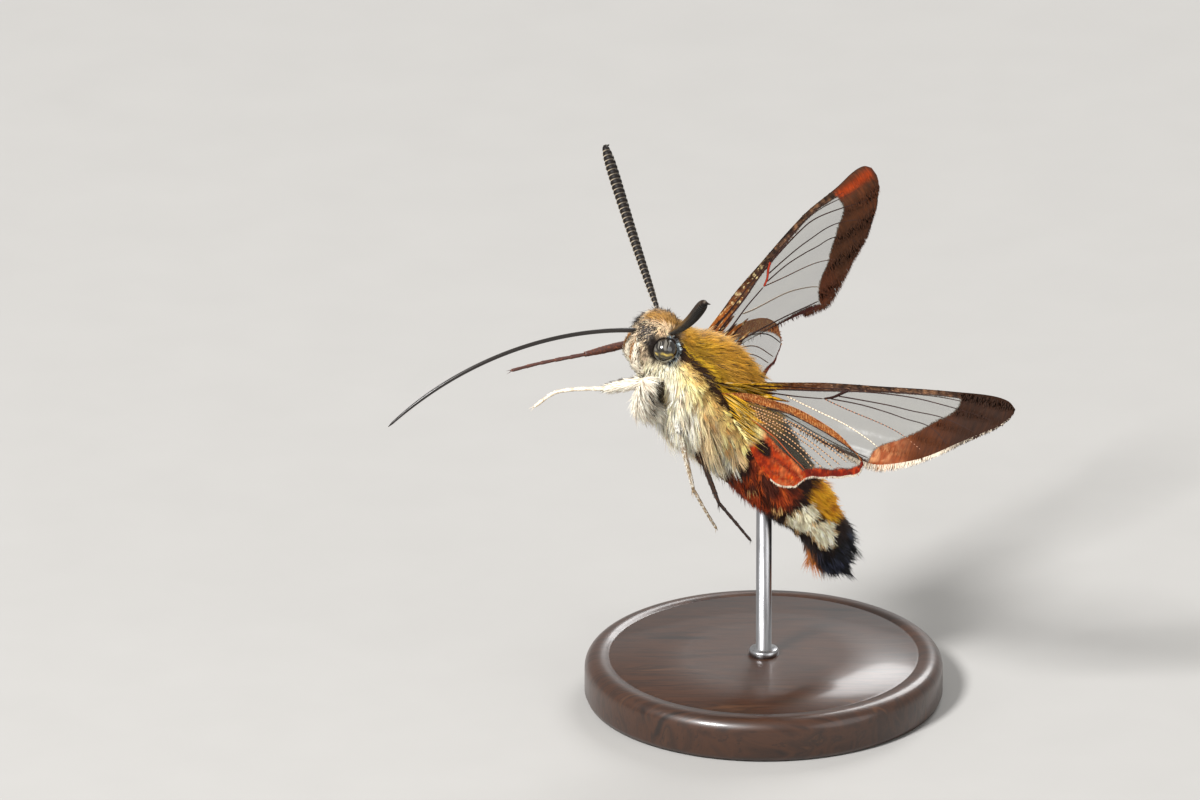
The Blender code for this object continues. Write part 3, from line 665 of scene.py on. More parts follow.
def growCoat(name, span, latitudes, count, slot, lockSize, pull, material, seed):
    rng = np.random.default_rng(seed)
    reach, turn = scatterRoots(span, latitudes, count, rng)
    root, normal = skinSurface(reach, turn)
    clear = nearEye(root)[0] > coat["eyeRoom"]
    reach, turn, root, normal = reach[clear], turn[clear], root[clear], normal[clear]
    count = len(root)
    x = root[:, 0]
    latitude = latitudeOf(turn)
    thorax = ramp(x, -4.4, -3.6) * ramp(x, 4.4, 3.8)
    head = ramp(x - 0.95 * ramp(latitude, 24, 40), 4.0, 4.5)
    belly = ramp(latitude, 8, -12)
    crown = ramp(latitude, 30, 48)
    face = ramp(x, 6.1, 6.8)
    locks = belly * thorax * bell(x, -0.8, 3.8)  # long locks hang under the thorax
    fluff = bell(x, -11.6, 1.9) * bell(latitude, -6, 36)  # fluffy tufts stand near the tail
    lock = findLocks(root, lockSize, rng)
    whole = rng.normal(0, 1, (count, 5))[lock]  # what the hairs of one lock share

    # which way a hair lies: back along the body and down, up the crown, down the face
    fall = thorax * ((0.42 + 0.43 * ramp(x, 0.0, 2.5)) * belly - 0.27 * (1 - belly) * ramp(latitude, 88, 50))
    fall = fall + (1 - thorax) * (1 - head) * 0.35 * belly * ramp(x, -13, -10)
    heading = np.stack([np.full(count, -1.0), np.zeros(count), -fall], -1)
    onHead = blend(np.array([-0.6, 0, -0.8]), np.array([0.5, 0, 0.5]), crown)
    onHead = blend(onHead, np.array([0.45, 0, -0.9]), face * (1 - 0.6 * crown))
    lay = unit(flattened(blend(heading, onHead, head), normal))
    lay = unit(lay + rng.normal(0, 0.11, (count, 3)) + 0.13 * whole[:, :3])

    length = smoothKeys(coat["lengths"], x) * rng.uniform(0.72, 1.12, count) * (1 + 0.13 * whole[:, 3])
    lift = smoothKeys(coat["lifts"], x) + rng.normal(0, 5, count) + 7 * whole[:, 4]  # in degrees
    length = length * (1 + 0.80 * locks * (1 + 0.3 * whole[:, 0]))
    length = length * (1 + 0.25 * belly * bell(x, -7.0, 2.6)) * (1 - 0.45 * shadedHollow(root, latitude))
    length = length * (1 + 0.35 * bell(x, -11.2, 2.2) * ramp(latitude, 25, 50))
    brush = ramp(x, -13.4, -14.6) * ramp(latitude, 0, 50) * ramp(x, -16.6, -15.4)
    lift = lift - 8 * locks + 9 * brush + 20 * fluff
    # short where the wings are joined
    trim = ramp(latitude, -24, -8) * ramp(latitude, 36, 26) * ramp(x, 2.6, 1.4) * ramp(x, -7.0, -5.5)
    length = length * (1 - 0.55 * trim)
    lift = lift * (1 - 0.6 * trim)
    # what lies round the eye is short and points away from it
    ringed = ramp(nearEye(root)[0], 1.7, 1.1) * ramp(x, 4.0, 4.5)
    away = np.zeros((count, 3))
    for eye in eyes.values():
        fromEye = root - eye["centre"]
        away += unit(fromEye) * (np.linalg.norm(fromEye, axis=-1) < 2.2 * eye["radius"])[:, None]
    lay = unit(lay + 2.0 * flattened(away, normal) * ringed[:, None])
    length = length * (1 - 0.52 * ringed) * (1 + 0.15 * head * crown)
    lift = lift + 8 * head * crown

    tint = markings(root, turn, rng)
    # dark bristles on the face and a few on the head; the dark hairs in the locks and the fine dark ripples
    # on the back are painted shade between tufts
    bristles = head * face * 0.50 * bell(latitude, 5, 34) + 0.03 * head + 0.05 * locks
    dark = rng.random(count) < bristles + 0.08 * thorax * (1 - belly)
    tint = np.where(dark[:, None], tints["bristle"] + rng.uniform(0, 0.03, (count, 1)), tint)
    length = np.where(dark & (head > 0.5), length * coat["bristleLength"], length)
    lift = np.where(dark & (head > 0.5), lift + coat["bristleLift"], lift)
    shade = np.clip(1 + (0.16 + 0.12 * locks) * whole[:, 1], 0.5, 1.3)
    # painted shade: some locks under the thorax are browned
    tint = blend(tint, tint * np.array(coat["brown"]), 0.9 * locks * ramp(whole[:, 2], 0.7, 1.5))
    tint = tint * (rng.uniform(0.75, 1.15, count) * shade)[:, None]
    tint = tint * (1 + rng.normal(0, 0.03, (count, 3)))
    # each hair is painted darker at its root, as painted shade where hairs shade one another, and lighter at
    # its tip, as painted light
    paintedRootShade = 0.70 + 0.16 * locks + 0.18 * fluff
    hair = dict(root=root - normal * coat["rootDepth"], normal=normal, lay=lay, length=length,
                lift=np.radians(lift), lock=lock, droop=rng.uniform(0.2, 0.55, count),
                width=smoothKeys(coat["widths"], x) * rng.uniform(0.7, 1.2, count),
                tint=np.clip(tint * paintedRootShade[:, None], 0, 1), tip=np.clip(tint * 1.2, 0, 1),
                patch=patchAt(reach / bodyLength, turn % fullTurn / fullTurn))
    growHairs(name, hair, material, seed + 100, pull)


def buildCoat():
    material = coatMaterial("coatHair", 0.5, 0.08)
    for k, (name, settings) in enumerate(coat["areas"].items()):
        growCoat("coat_" + name, *settings, material, seed=20 + k)


eyeLook = dict(
    # high and across are up and right across the frame; the eye's painted reflections are laid out by them
    high=(0.608, -0.475, 0.637), across=(-0.58, 0.282, 0.764),  # two directions on the left eye
    facetSize=0.028, rows=70, sides=96,
    # the eye's tones are painted reflections and painted shade: pale and dark reflected streaks, golden
    # reflected bands, a painted dark pseudopupil, and painted shade low on the eye and at its rim
    tones=palette(pale="6a655c", dark="1b1713", lower="16120e", band="9a8438", bandPale="c8aa50",
                  below="1c180a", secondBand="5c5224", pupil="070605", rim="050404"),
)


def buildEyes():
    material, tree = startMaterial("eye")
    facets = tree.node("TexVoronoi", dict(feature="DISTANCE_TO_EDGE"),
                       {"Vector": objectSpot(tree), "Scale": 1 / (eyeLook["facetSize"] * mm)})
    finishMaterial(material, tree, {"Base Color": stored(tree, "tint"), "Roughness": 0.16,
                                    "Specular IOR Level": 0.6, "Coat Weight": 0.6, "Coat Roughness": 0.05,
                                    "Normal": bumpFrom(tree, facets, 0.004, 0.25)})
    tilt = np.linspace(0, np.pi, eyeLook["rows"])[1:-1, None]
    turn = ringAngles(eyeLook["sides"])
    ball = [np.sin(tilt) * np.cos(turn), np.cos(tilt) * np.ones(len(turn)), np.sin(tilt) * np.sin(turn)]
    points, faces = closedRings(np.stack(ball, -1), (0, 1.0, 0), (0, -1.0, 0))
    for side, eye in eyes.items():
        high, across = (points @ mirrored(eyeLook[axis], side) for axis in ("high", "across"))
        facing = np.sqrt(np.clip(1 - high**2 - across**2, 0, 1))
        streak = softNoise(np.stack([across * 11 + 0.4 * np.sin(high * 9), high * 1.8, facing], -1), 1.0, 4)
        band = high + 0.10 * across + 0.05 * np.sin(across * 9) + 0.40
        # painted reflections and painted shade, laid out up and across the frame
        tint = layered(eyeLook["tones"]["pale"], eyeLook["tones"],
                       ("dark", ramp(streak, 0.30, 0.62)),
                       ("lower", ramp(high, 0.05, -0.18)),
                       ("band", bell(band, 0, 0.10)),
                       ("bandPale", bell(band, 0.03, 0.035) * ramp(streak, 0.6, 0.4)),
                       ("below", ramp(band, -0.10, -0.18)),
                       ("secondBand", bell(band, -0.24, 0.05) * ramp(streak, 0.62, 0.4) * 0.8),
                       ("pupil", bell(high, -0.40, 0.16) * bell(across, -0.42, 0.16)),
                       ("rim", ramp(np.hypot(high, across), 0.74, 0.88)))
        makePiece("eye_" + side + "_glass", toWorld(eye["centre"] + eye["radius"] * points), faces, material,
                  ("eye_" + side,), dict(tint=tint))
    print("eyes made")


def tubeHairs(path, radii, count, rng, length, lift, ahead=1.0, aside=(0, 0, 0)):  # hairs on a round limb
    share = rng.random(count)
    at = readPath(path, share)
    along = unit(readPath(unit(np.gradient(path, axis=0)), share))
    radius = np.interp(share, np.linspace(0, 1, len(path)), radii)
    side = unit(np.cross(along, np.array([0.3, 0.2, 1.0])))
    other = np.cross(along, side)
    turn = rng.uniform(0, fullTurn, count)
    normal = np.cos(turn)[:, None] * side + np.sin(turn)[:, None] * other
    over = ((share > 0.93) * rng.uniform(0, np.pi / 2, count))[:, None]  # round the end as well
    normal = np.cos(over) * normal + np.sin(over) * along
    direction = along * ahead + np.asarray(aside) + rng.normal(0, 0.12, (count, 3))
    return dict(root=at + normal * (radius * 0.92)[:, None], normal=normal,
                lay=unit(flattened(direction, normal, 0.8)), share=share,
                length=length * rng.uniform(0.7, 1.2, count), lift=np.radians(lift + rng.normal(0, 6, count)),
                droop=rng.uniform(0.1, 0.4, count), patch=patchAt(share, turn / fullTurn))


palps = dict(path=((4.60, 0.75, -1.85), (5.40, 0.72, -1.80), (6.05, 0.64, -1.32), (6.48, 0.54, -0.62)),
             radii=((0.0, 0.26), (0.5, 0.30), (0.85, 0.24), (1.0, 0.05)), rows=40, sides=20,
             hairs=1400, hairLength=0.36, hairLift=24, greyShare=0.18)


def buildPalps(hairMaterial):
    share = np.linspace(0, 1, palps["rows"])
    radii = smoothKeys(palps["radii"], share)
    for k, side in enumerate(bothSides):
        path = smoothPath(mirrored(palps["path"], side), share)
        points, faces = tube(path, radii, palps["sides"], around=(0, 1, 0))
        # the palp's skin is painted darker, as painted shade under its hairs
        makePiece("palp_" + side + "_skin", toWorld(points), faces, hairMaterial,
                  ("palp_" + side,), dict(tint=np.tile(tints["palp"] * 0.7, (len(points), 1))))
        rng = np.random.default_rng(60 + k)
        hair = tubeHairs(path, radii, palps["hairs"], rng, palps["hairLength"], palps["hairLift"])
        count = len(hair["root"])
        front = ramp(hair["normal"] @ np.array([0.76, 0, -0.64]), 0.84, 0.95) * ramp(hair["share"], 0.25, 0.5)
        tint = layered(tints["palp"], tints,
                       ("palpEdge", front),
                       ("ash", (rng.random(count) < palps["greyShare"]) * (1 - front)))
        tint = tint * rng.uniform(0.75, 1.15, (count, 1))
        # hairs painted darker at the root, as painted shade, and lighter at the tip
        hair.update(width=rng.uniform(0.04, 0.065, count), tint=tint * 0.65, tip=np.clip(tint * 1.08, 0, 1))
        hair["lock"] = findLocks(hair["root"], 6, rng)
        growHairs("palp_" + side + "_coat", hair, hairMaterial, 160 + k)
    print("palps made")


feelers = dict(
    root=(5.65, 0.90, 1.10), reach=dict(left=(6.39, 9.58, 4.24), right=(6.93, 9.85, 4.06)), bow=-0.30,
    radii=((0.0, 0.17), (0.03, 0.14), (0.08, 0.15), (0.20, 0.23), (0.40, 0.29), (0.60, 0.34), (0.80, 0.37),
           (0.90, 0.34), (0.95, 0.26), (0.975, 0.15), (0.985, 0.07), (1.0, 0.02)),
    segments=38, rowsPerSegment=7, sides=16, hook=(-0.42, 0, 0.12), bristles=900,
    # half the gap between two pale rings, the side they show on, and strengths of rings, tinge and bristles
    looks=dict(left=dict(gap=0.40, light="24160c", towards=None, rings=0.25, olive=0.9, bristle=0.12),
               right=dict(gap=0.37, light="120b08", towards=(0.58, -0.282, -0.764), rings=1.0, olive=0.0,
                          bristle=0.8)),
    tones=palette(dark="0b0706", ring="b8a890", olive="5a4018", bristle="e8dfce", bristleDark="8d7a64"),
)


def feelerPath(side, count):
    root, reach = mirrored(feelers["root"], side), mirrored(feelers["reach"][side], side)
    rise = unit(np.cross(np.cross(reach, np.array([0, -reach[1], 0])), reach))
    share = np.linspace(0, 1, count)[:, None]
    path = root + reach * share + rise * feelers["bow"] * np.sin(np.pi * share)
    return path + ramp(share, 0.965, 1.0) * np.array(feelers["hook"]), unit(reach)  # the tip bends back


def buildFeelers(hairMaterial):
    material, tree = startMaterial("feeler")
    finishMaterial(material, tree, {"Base Color": stored(tree, "tint"), "Roughness": 0.55,
                                    "Specular IOR Level": 0.22,
                                    "Normal": bumpFrom(tree, grainOf(tree, 0.03, 3.0), 0.008, 0.5)})
    segments, sides, tones = feelers["segments"], feelers["sides"], feelers["tones"]
    rows = segments * feelers["rowsPerSegment"] + 1
    share = np.linspace(0, 1, rows)
    phase = np.arange(rows) % feelers["rowsPerSegment"] / feelers["rowsPerSegment"]
    thickness = smoothKeys(feelers["radii"], share)
    for k, side in enumerate(bothSides):
        look = feelers["looks"][side]
        path, along = feelerPath(side, rows)
        rings = tubeRings(path, thickness * (0.90 + 0.13 * np.sin(np.pi * phase)), sides)
        points, faces = closedRings(rings, path[0], path[-1])
        front = unit(np.cross(along, np.array([0, 0, 1.0])))  # the side that bears the bristles
        front = front * np.sign(front[0])
        out = unit((rings - path[:, None]).reshape(-1, 3))
        joint = np.repeat(ramp(np.abs(phase - 0.5), look["gap"], look["gap"] + 0.06), sides)
        towards = front if look["towards"] is None else np.array(look["towards"])
        ringed = (0.18 + 0.72 * ramp(out @ towards, 0.0, 0.8)) * look["rings"]
        olive = ramp(out[:, 0], 0.0, 0.7) * np.repeat(ramp(share, 0.80, 0.45), sides) * look["olive"]
        tint = layered(tones["dark"], tones,
                       (paint(look["light"]), ramp(out @ front, -0.2, 0.8)),
                       ("ring", joint * ramp(out @ front, -0.2, 0.2) * ringed),
                       ("olive", olive * (1 - joint)))
        tint = np.concatenate([tint, tint[:1], tint[-1:]])
        makePiece("antenna_" + side + "_shaft", toWorld(points), faces, material,
                  ("antenna_" + side,), dict(tint=tint))
        rng = np.random.default_rng(70 + k)
        count = feelers["bristles"]
        place = (rng.integers(1, segments - 2, count) + rng.uniform(0.3, 0.6, count)) / segments
        radius = np.interp(place, share, thickness)
        edge = np.where(rng.random(count) < 0.85, 1, -1) * (1 if side == "left" else -1)
        angle = np.radians(edge * rng.normal(78, 9, count))
        normal = np.cos(angle)[:, None] * front + np.sin(angle)[:, None] * np.cross(along, front)
        pale = blend(tones["bristle"], tones["bristleDark"], rng.random(count) ** 2) * look["bristle"]
        # bristles painted darker at the root, as painted shade
        hair = dict(root=readPath(path, place) + normal * (radius * 0.9)[:, None], normal=normal,
                    lay=np.tile(along, (count, 1)), length=rng.uniform(0.10, 0.17, count),
                    lift=np.radians(rng.normal(48, 8, count)), droop=np.full(count, 0.2),
                    width=rng.uniform(0.022, 0.034, count), tint=pale * 0.7, tip=pale,
                    patch=np.stack([0.02 + 0.96 * place, 0.5 + angle / 4], -1))
        growHairs("antenna_" + side + "_bristles", hair, hairMaterial, 170 + k)
    print("feelers made")


def hornMaterial(name, dark, light, roughness, grainSize=0.05):
    material, tree = startMaterial(name)
    grain = grainOf(tree, grainSize, 3.0)
    return finishMaterial(material, tree, {
        "Base Color": grain.mixed(opaque(dark), opaque(light)), "Roughness": roughness, "Coat Weight": 0.25,
        "Coat Roughness": 0.2, "Normal": bumpFrom(tree, grain, 0.01, 0.5)})


tongue = dict(root=(6.65, 0.0, -0.15), radius=0.14, pitch=44.0, straight=1.0, length=18.0, droop=50.0,
              rows=240, sides=20, groove=0.22, ridge=0.035, ridgeGap=0.16,
              taper=((0, 1.15), (3, 1.0), (14, 0.85), (17.6, 0.55), (18, 0.15)))


def buildTongue():
    reach = np.linspace(0, tongue["length"], tongue["rows"])
    bend = np.clip((reach - tongue["straight"]) / (tongue["length"] - tongue["straight"]), 0, 1)
    angle = np.radians(tongue["pitch"] + tongue["droop"] * bend)
    steps = np.column_stack([np.cos(angle), 0 * angle, -np.sin(angle)]) * reach[1]
    path = np.array(tongue["root"]) + np.concatenate([np.zeros((1, 3)), np.cumsum(steps[:-1], axis=0)])
    across = np.cos(ringAngles(tongue["sides"]))
    groove = 1 - tongue["groove"] * (bell(across, 1, 0.12) + bell(across, -1, 0.12))  # where its halves meet
    ridge = 1 + tongue["ridge"] * np.sin(reach * fullTurn / tongue["ridgeGap"])
    radii = tongue["radius"] * (ridge * smoothKeys(tongue["taper"], reach))[:, None] * groove
    points, faces = tube(path, radii, tongue["sides"], around=(0, 1, 0))
    makePiece("proboscis_tube", toWorld(points), faces, hornMaterial("tongue", "070606", "241a14", 0.32),
              ("proboscis",))
    print("tongue made")


legPaths = dict(  # three points for the thigh, the end of the shin, and two more for the foot
    front_left=((1.8, 0.9, -2.2), (3.05, 1.45, -3.35), (5.1, 2.4, -2.0), (5.4, 0.9, -4.1), (6.6, -0.8, -6.9),
                (6.8, -0.9, -8.6)),
    front_right=((1.8, -0.9, -2.2), (2.95, -2.4, -2.15), (4.5, -2.95, -1.6), (6.2, -2.75, -4.2),
                 (7.8, -2.85, -6.7), (8.8, -2.75, -8.3)),
    middle_left=((0.6, 1.2, -2.0), (0.8, 1.8, -2.3), (0.5, 2.2, -2.5), (-3.7, 2.3, -4.5), (-5.6, 2.2, -4.9),
                 (-7.3, 2.0, -5.2)),
    middle_right=((0.4, -1.3, -2.3), (0.6, -2.2, -3.5), (-0.5, -2.8, -3.4), (-3.8, -2.7, -3.4),
                  (-5.5, -2.6, -3.35), (-7.0, -2.5, -3.3)),
    hind_left=((-2.0, 1.2, -2.2), (-2.5, 1.5, -2.8), (-3.3, 1.4, -3.0), (-6.2, 1.6, -4.0), (-8.2, 1.6, -4.1),
               (-10.0, 1.5, -4.2)),
    hind_right=((-2.0, -1.2, -2.2), (-2.3, -1.3, -2.9), (-3.2, -1.2, -3.2), (-6.3, -1.4, -3.15),
                (-8.0, -1.8, -3.0), (-9.4, -2.1, -2.8)),
)
legs = dict(
    # each piece: its points of the path, rows, radii, radii where furry, share of the leg's hairs
    segments=dict(
        femur=dict(part=slice(0, 3), rows=40, radii=(0.26, 0.18), furry=(0.42, 0.32), share=0.45, lift=26,
                   width=0.055, patch=0),
        tibia=dict(part=slice(2, 4), rows=24, radii=(0.16, 0.13), furry=(0.27, 0.20), share=0.30, lift=12,
                   width=0.050, patch=0.33),
        tarsus=dict(part=slice(3, 6), rows=61, radii=(0.11, 0.085), furry=(0.13, 0.10), share=0.25, lift=10,
                    width=0.040, patch=0.66)),
    sides=14, tarsomeres=5, clawLength=0.30, clawRadius=0.035, spurLength=0.75, spurRadius=0.055,
    spurs=dict(front=(), middle=(0.97,), hind=(0.60, 0.97)),  # places along the shin
    # skin, hair, stray hair, hairs, hair lengths of thigh, shin and foot
    looks=dict(front_left=("efe2cc", "fff2dc", "b09a80", 3900, (1.12, 0.60, 0.16)),
               middle_left=("c8ac84", "fff6e4", "3a2214", 2600, (0.35, 0.15, 0.11)),
               front_right=("54281a", "8c5238", "24100a", 1400, (0.18, 0.15, 0.10)),
               middle_right=("3d2418", "80603e", "20120c", 900, (0.25, 0.15, 0.10)),
               hind_left=("2f1b12", "5a3a24", "180d08", 1000, (0.25, 0.16, 0.10)),
               hind_right=("2f1b12", "5a3a24", "180d08", 900, (0.25, 0.16, 0.10))),
    # the near fore leg: long hair hanging back from its thigh, and a dark line of painted shade along one
    # edge of thigh and shin
    hanging=(-0.85, 0.2, -0.05), edgeShadeLines=dict(tibia=(0.608, -0.475, 0.637), femur=(-0.58, 0.282, 0.764)),
)


def legParts(name):
    parts, limbs = [], []
    for segment, shape in legs["segments"].items():
        thick, thin = shape["furry" if name.startswith("front") else "radii"]
        share = np.linspace(0, 1, shape["rows"])
        path = smoothPath(legPaths[name][shape["part"]], share)
        if segment == "tarsus":
            swell = 0.86 + 0.26 * (share * legs["tarsomeres"] % 1)
        else:
            swell = 0.86 + 0.22 * np.sin(np.pi * np.clip(share * 1.1, 0, 1))
        radii = (thick + (thin - thick) * share) * swell
        parts.append(tube(path, radii, legs["sides"]))
        limbs.append((segment, path, radii))
    end, heading = path[-1], unit(path[-1] - path[-4])
    sideways = unit(np.cross(heading, np.array([0.2, 1.0, 0.3])))
    share = np.linspace(0, 1, 10)[:, None]
    for sign in (-1, 1):
        hook = heading * share + sign * sideways * (0.5 * share - 0.15 * share**2)
        hook = end + legs["clawLength"] * (hook + np.array([0, 0, -0.45]) * share**2)
        parts.append(tube(hook, legs["clawRadius"] * (1.05 - share[:, 0]), 8))
    shin = limbs[1][1]
    share = np.linspace(0, 1, 8)[:, None]
    for place in legs["spurs"][name.split("_")[0]]:
        for sign in (-1, 1):
            direction = unit(unit(shin[-1] - shin[0]) + np.array([0, 0.32 * sign, -0.35]))
            spur = smoothPath(shin, np.array(place)) + legs["spurLength"] * share * direction
            parts.append(tube(spur, legs["spurRadius"] * (1.03 - share[:, 0]), 8))
    return parts, limbs


def buildLegs(hairMaterial):
    hairs = []
    for k, name in enumerate(legPaths):
        skinCode, hairCode, strayCode, count, lengths = legs["looks"][name]
        parts, limbs = legParts(name)
        points, faces = joined(parts)
        makePiece("leg_" + name + "_skin", toWorld(points), faces,
                  hornMaterial("leg_" + name, skinCode, strayCode, 0.6, 0.12),
                  ["leg_" + name + "_" + segment for segment in legs["segments"]])
        rng = np.random.default_rng(80 + k)
        nearFore = name == "front_left"
        for (segment, path, radii), length in zip(limbs, lengths):
            shape = legs["segments"][segment]
            lay = (0.0, legs["hanging"]) if nearFore and segment == "femur" else (1.0, (0, 0, 0))
            lift = 26 if nearFore and segment == "tibia" else shape["lift"]
            hair = tubeHairs(path, radii, int(count * shape["share"]), rng, length, lift, *lay)
            number = len(hair["root"])
            tint = blend(paint(hairCode), paint(strayCode), (rng.random(number) < 0.22) * 0.9)
            if segment == "tarsus":
                ringed = ramp(np.sin(hair["share"] * fullTurn * legs["tarsomeres"]), 0.4, 0.9)
                tint = blend(tint, paint(strayCode), ringed * 0.7)
            elif nearFore:
                # painted shade: a dark line along the thigh's edge facing right across the frame and the
                # shin's edge facing up
                line = hair["normal"] @ np.array(legs["edgeShadeLines"][segment])
                tint = blend(tint, tints["bristle"], ramp(line, 0.80, 0.92))
            tint = tint * rng.uniform(0.75, 1.15, (number, 1))
            # hairs painted darker at the root, as painted shade, and lighter at the tip
            hair.update(width=shape["width"] * rng.uniform(0.8, 1.2, number),
                        tint=tint * (0.85 if nearFore else 0.65), tip=np.clip(tint * 1.15, 0, 1))
            hair["patch"][:, 0] = (k + hair["patch"][:, 0] * 0.3 + shape["patch"]) / 6.1
            hairs.append(hair)
    merged = {key: np.concatenate([hair[key] for hair in hairs]) for key in hairs[0] if key != "share"}
    merged["lock"] = findLocks(merged["root"], 6, rng)
    growHairs("leg_coat", merged, hairMaterial, 180)
    print("legs made")


# Places in a wing's own plane are (out along the span, back across it).
forewing = dict(
    root=(1.50, 2.40, 1.30),
    front=((0.0, 0.0), (5.5, -0.52), (11.5, -0.72), (17.0, -0.80), (19.2, -0.76), (20.4, -0.50), (20.9, 0.0)),
    rear=((0.0, 1.5), (4.0, 2.35), (8.0, 3.45), (10.8, 4.32), (12.0, 4.30), (14.5, 3.68), (17.5, 2.25),
          (19.4, 1.36), (20.5, 0.62), (20.9, 0.0)),
    tip=dict(left=(-7.7, 13.8, 14.85), right=(-6.55, -13.85, 15.3)),
    twist=dict(left=(6.0, -44.0), right=(4.0, 10.0)), twistSpan=9.0, camber=0.35,
    bend=dict(left=(0.0, 0.0), right=(0.45, 0.55)),  # how far the tip's two edges swing back
    border=((17.0, -1.2), (16.9, -0.1), (16.3, 0.60), (15.2, 1.20), (14.0, 1.95), (12.8, 2.55), (11.6, 3.0),
            (10.9, 3.5), (10.6, 4.6)),
    costaWidth=((0.0, 0.5), (4.0, 0.72), (7.5, 0.62), (11.5, 0.46), (14.3, 0.42), (18.0, 0.5)),
    hemWidth=((0.0, 0.0), (4.0, 0.08), (7.5, 0.22), (9.8, 0.36), (10.5, 0.2), (11.0, 0.0)),
    baseReach=3.6, baseWaves=(0.9, 0.6, 17), scales=3000, baseHairs=800, baseHairReach=1.6,
    fringeFrom=0.42, fringeLength=0.34, fringeHairs=1700,
    # width at the root and the end, tone, points
    # the white and pink vein tones are painted glints
    veins=((0.13, 0.06, "dark", ((0.1, 0.30), (5.0, -0.10), (10.0, -0.36), (15.0, -0.46), (18.0, -0.35))),
           (0.15, 0.06, "dark", ((0.1, 0.55), (4.5, 0.22), (9.2, -0.20), (13.4, -0.18), (16.3, 0.25),
                                 (19.6, 0.95))),
           (0.07, 0.05, "dark", ((9.2, -0.22), (12.5, -0.38), (15.5, -0.35), (19.2, 0.10))),
           (0.14, 0.08, "dark", ((0.1, 0.95), (3.0, 0.80), (5.1, 0.62), (7.4, 0.50))),
           (0.20, 0.14, "spot", ((9.2, -0.25), (8.7, 0.0), (8.1, 0.30), (7.4, 0.50))),
           (0.09, 0.055, "dark", ((8.3, 0.18), (10.1, 0.31), (12.0, 0.49), (13.5, 0.71), (15.75, 1.0),
                                  (18.2, 1.76))),
           (0.09, 0.055, "dark", ((7.7, 0.42), (10.0, 0.63), (11.8, 0.97), (13.05, 1.28), (14.8, 1.67),
                                  (16.3, 2.7))),
           (0.09, 0.055, "pink", ((7.4, 0.50), (9.35, 1.11), (11.4, 1.72), (12.6, 2.19), (14.4, 3.2))),
           (0.10, 0.06, "white", ((4.6, 0.70), (5.6, 1.05), (8.1, 1.73), (9.3, 2.17), (10.7, 2.87),
                                  (11.3, 3.3))),
           (0.12, 0.07, "dark", ((0.1, 1.35), (3.0, 1.85), (7.0, 2.85), (10.8, 4.0)))),
)
hindwing = dict(
    root=(0.45, 2.40, 1.00),
    front=((0.0, -0.2), (2.5, -1.4), (6.0, -2.1), (9.0, -1.9), (11.0, -1.0), (11.9, 0.2)),
    rear=((0.0, 1.2), (1.3, 3.4), (2.0, 5.3), (3.2, 6.2), (4.7, 5.8), (6.3, 4.2), (8.8, 2.9), (11.2, 1.4),
          (11.9, 0.2)),
    tip=dict(left=(-4.25, 10.35, 5.0), right=(-7.4, -7.2, 3.3)),
    twist=dict(left=(-16.0, -16.0), right=(-40.0, -40.0)), twistSpan=6.0, camber=0.25,
    bend=dict(left=(0.0, 0.0), right=(0.0, 0.0)),
    costaWidth=((0.0, 0.6), (2.5, 0.9), (5.0, 0.95), (7.0, 0.98), (9.0, 0.90), (11.5, 0.5)),
    marginWidth=((3.0, 0.5), (6.0, 0.62), (9.0, 0.55), (11.9, 0.5)), marginFrom=5.0,
    anal=((0.0, 0.7), (1.5, 1.25), (3.2, 2.15), (4.6, 3.1), (5.9, 3.9), (6.6, 4.6)),
    baseReach=2.6, baseWaves=(0.7, 0.4, 19), scales=2600, baseHairs=600, baseHairReach=1.3,
    fringeFrom=0.33, fringeLength=0.24, fringeHairs=1300,
    # the bead vein tone is painted glints
    veins=((0.12, 0.07, "dark", ((0.2, -0.05), (3.0, -0.70), (6.0, -1.10), (9.0, -0.90), (11.3, -0.10))),
           (0.10, 0.07, "bead", ((0.4, 0.10), (4.5, -0.30), (7.5, -0.25), (10.6, 0.75))),
           (0.09, 0.065, "bead", ((0.5, 0.20), (4.5, 0.05), (7.2, 0.25), (10.2, 1.15))),
           (0.10, 0.07, "bead", ((0.5, 0.28), (4.5, 0.42), (7.0, 0.75), (9.5, 1.65))),
           (0.09, 0.065, "bead", ((0.5, 0.38), (4.3, 0.80), (6.6, 1.30), (8.8, 2.20))),
           (0.10, 0.07, "bead", ((0.5, 0.48), (4.0, 1.20), (6.1, 1.85), (7.9, 2.80))),
           (0.09, 0.065, "bead", ((0.5, 0.58), (3.6, 1.50), (5.5, 2.30), (7.0, 3.15))),
           (0.10, 0.06, "orange", ((0.5, 0.70), (3.0, 1.75), (4.8, 2.85), (6.1, 3.75)))),
)
membrane = dict(rows=130, columns=52, halfThickness=0.018, lastRow=0.998, veinRow=0.04, veinSides=8)
# white, pink and bead are painted glints on the veins
wingTones = palette(
    dark="1c0e08", spot="240c06", spotRed="8c2408", pink="b88468", white="f0dcc0", bead="cc9a6c",
    orange="a84814", underApex="2c1608", underMiddle="482208", underTornus="84401e", underPink="b47c54",
    overApex="542a10", overMiddle="422410", overTornus="4e2610", overStreak="a83c10", costa="4c3424",
    costaDark="22130a", costaPale="9a7050", costaOrange="96521c", baseYellow="e8b024", baseDark="1e1108",
    basePale="fbe4a8", hindCosta="964c18", hindCostaPale="d89c5c", hindMargin="6c1606", analRed="ac380c",
    analSalmon="dc8048", analCream="fff0a8", analSpot="1c0804", fringe="f0e0c8", hem="3c1710",
)


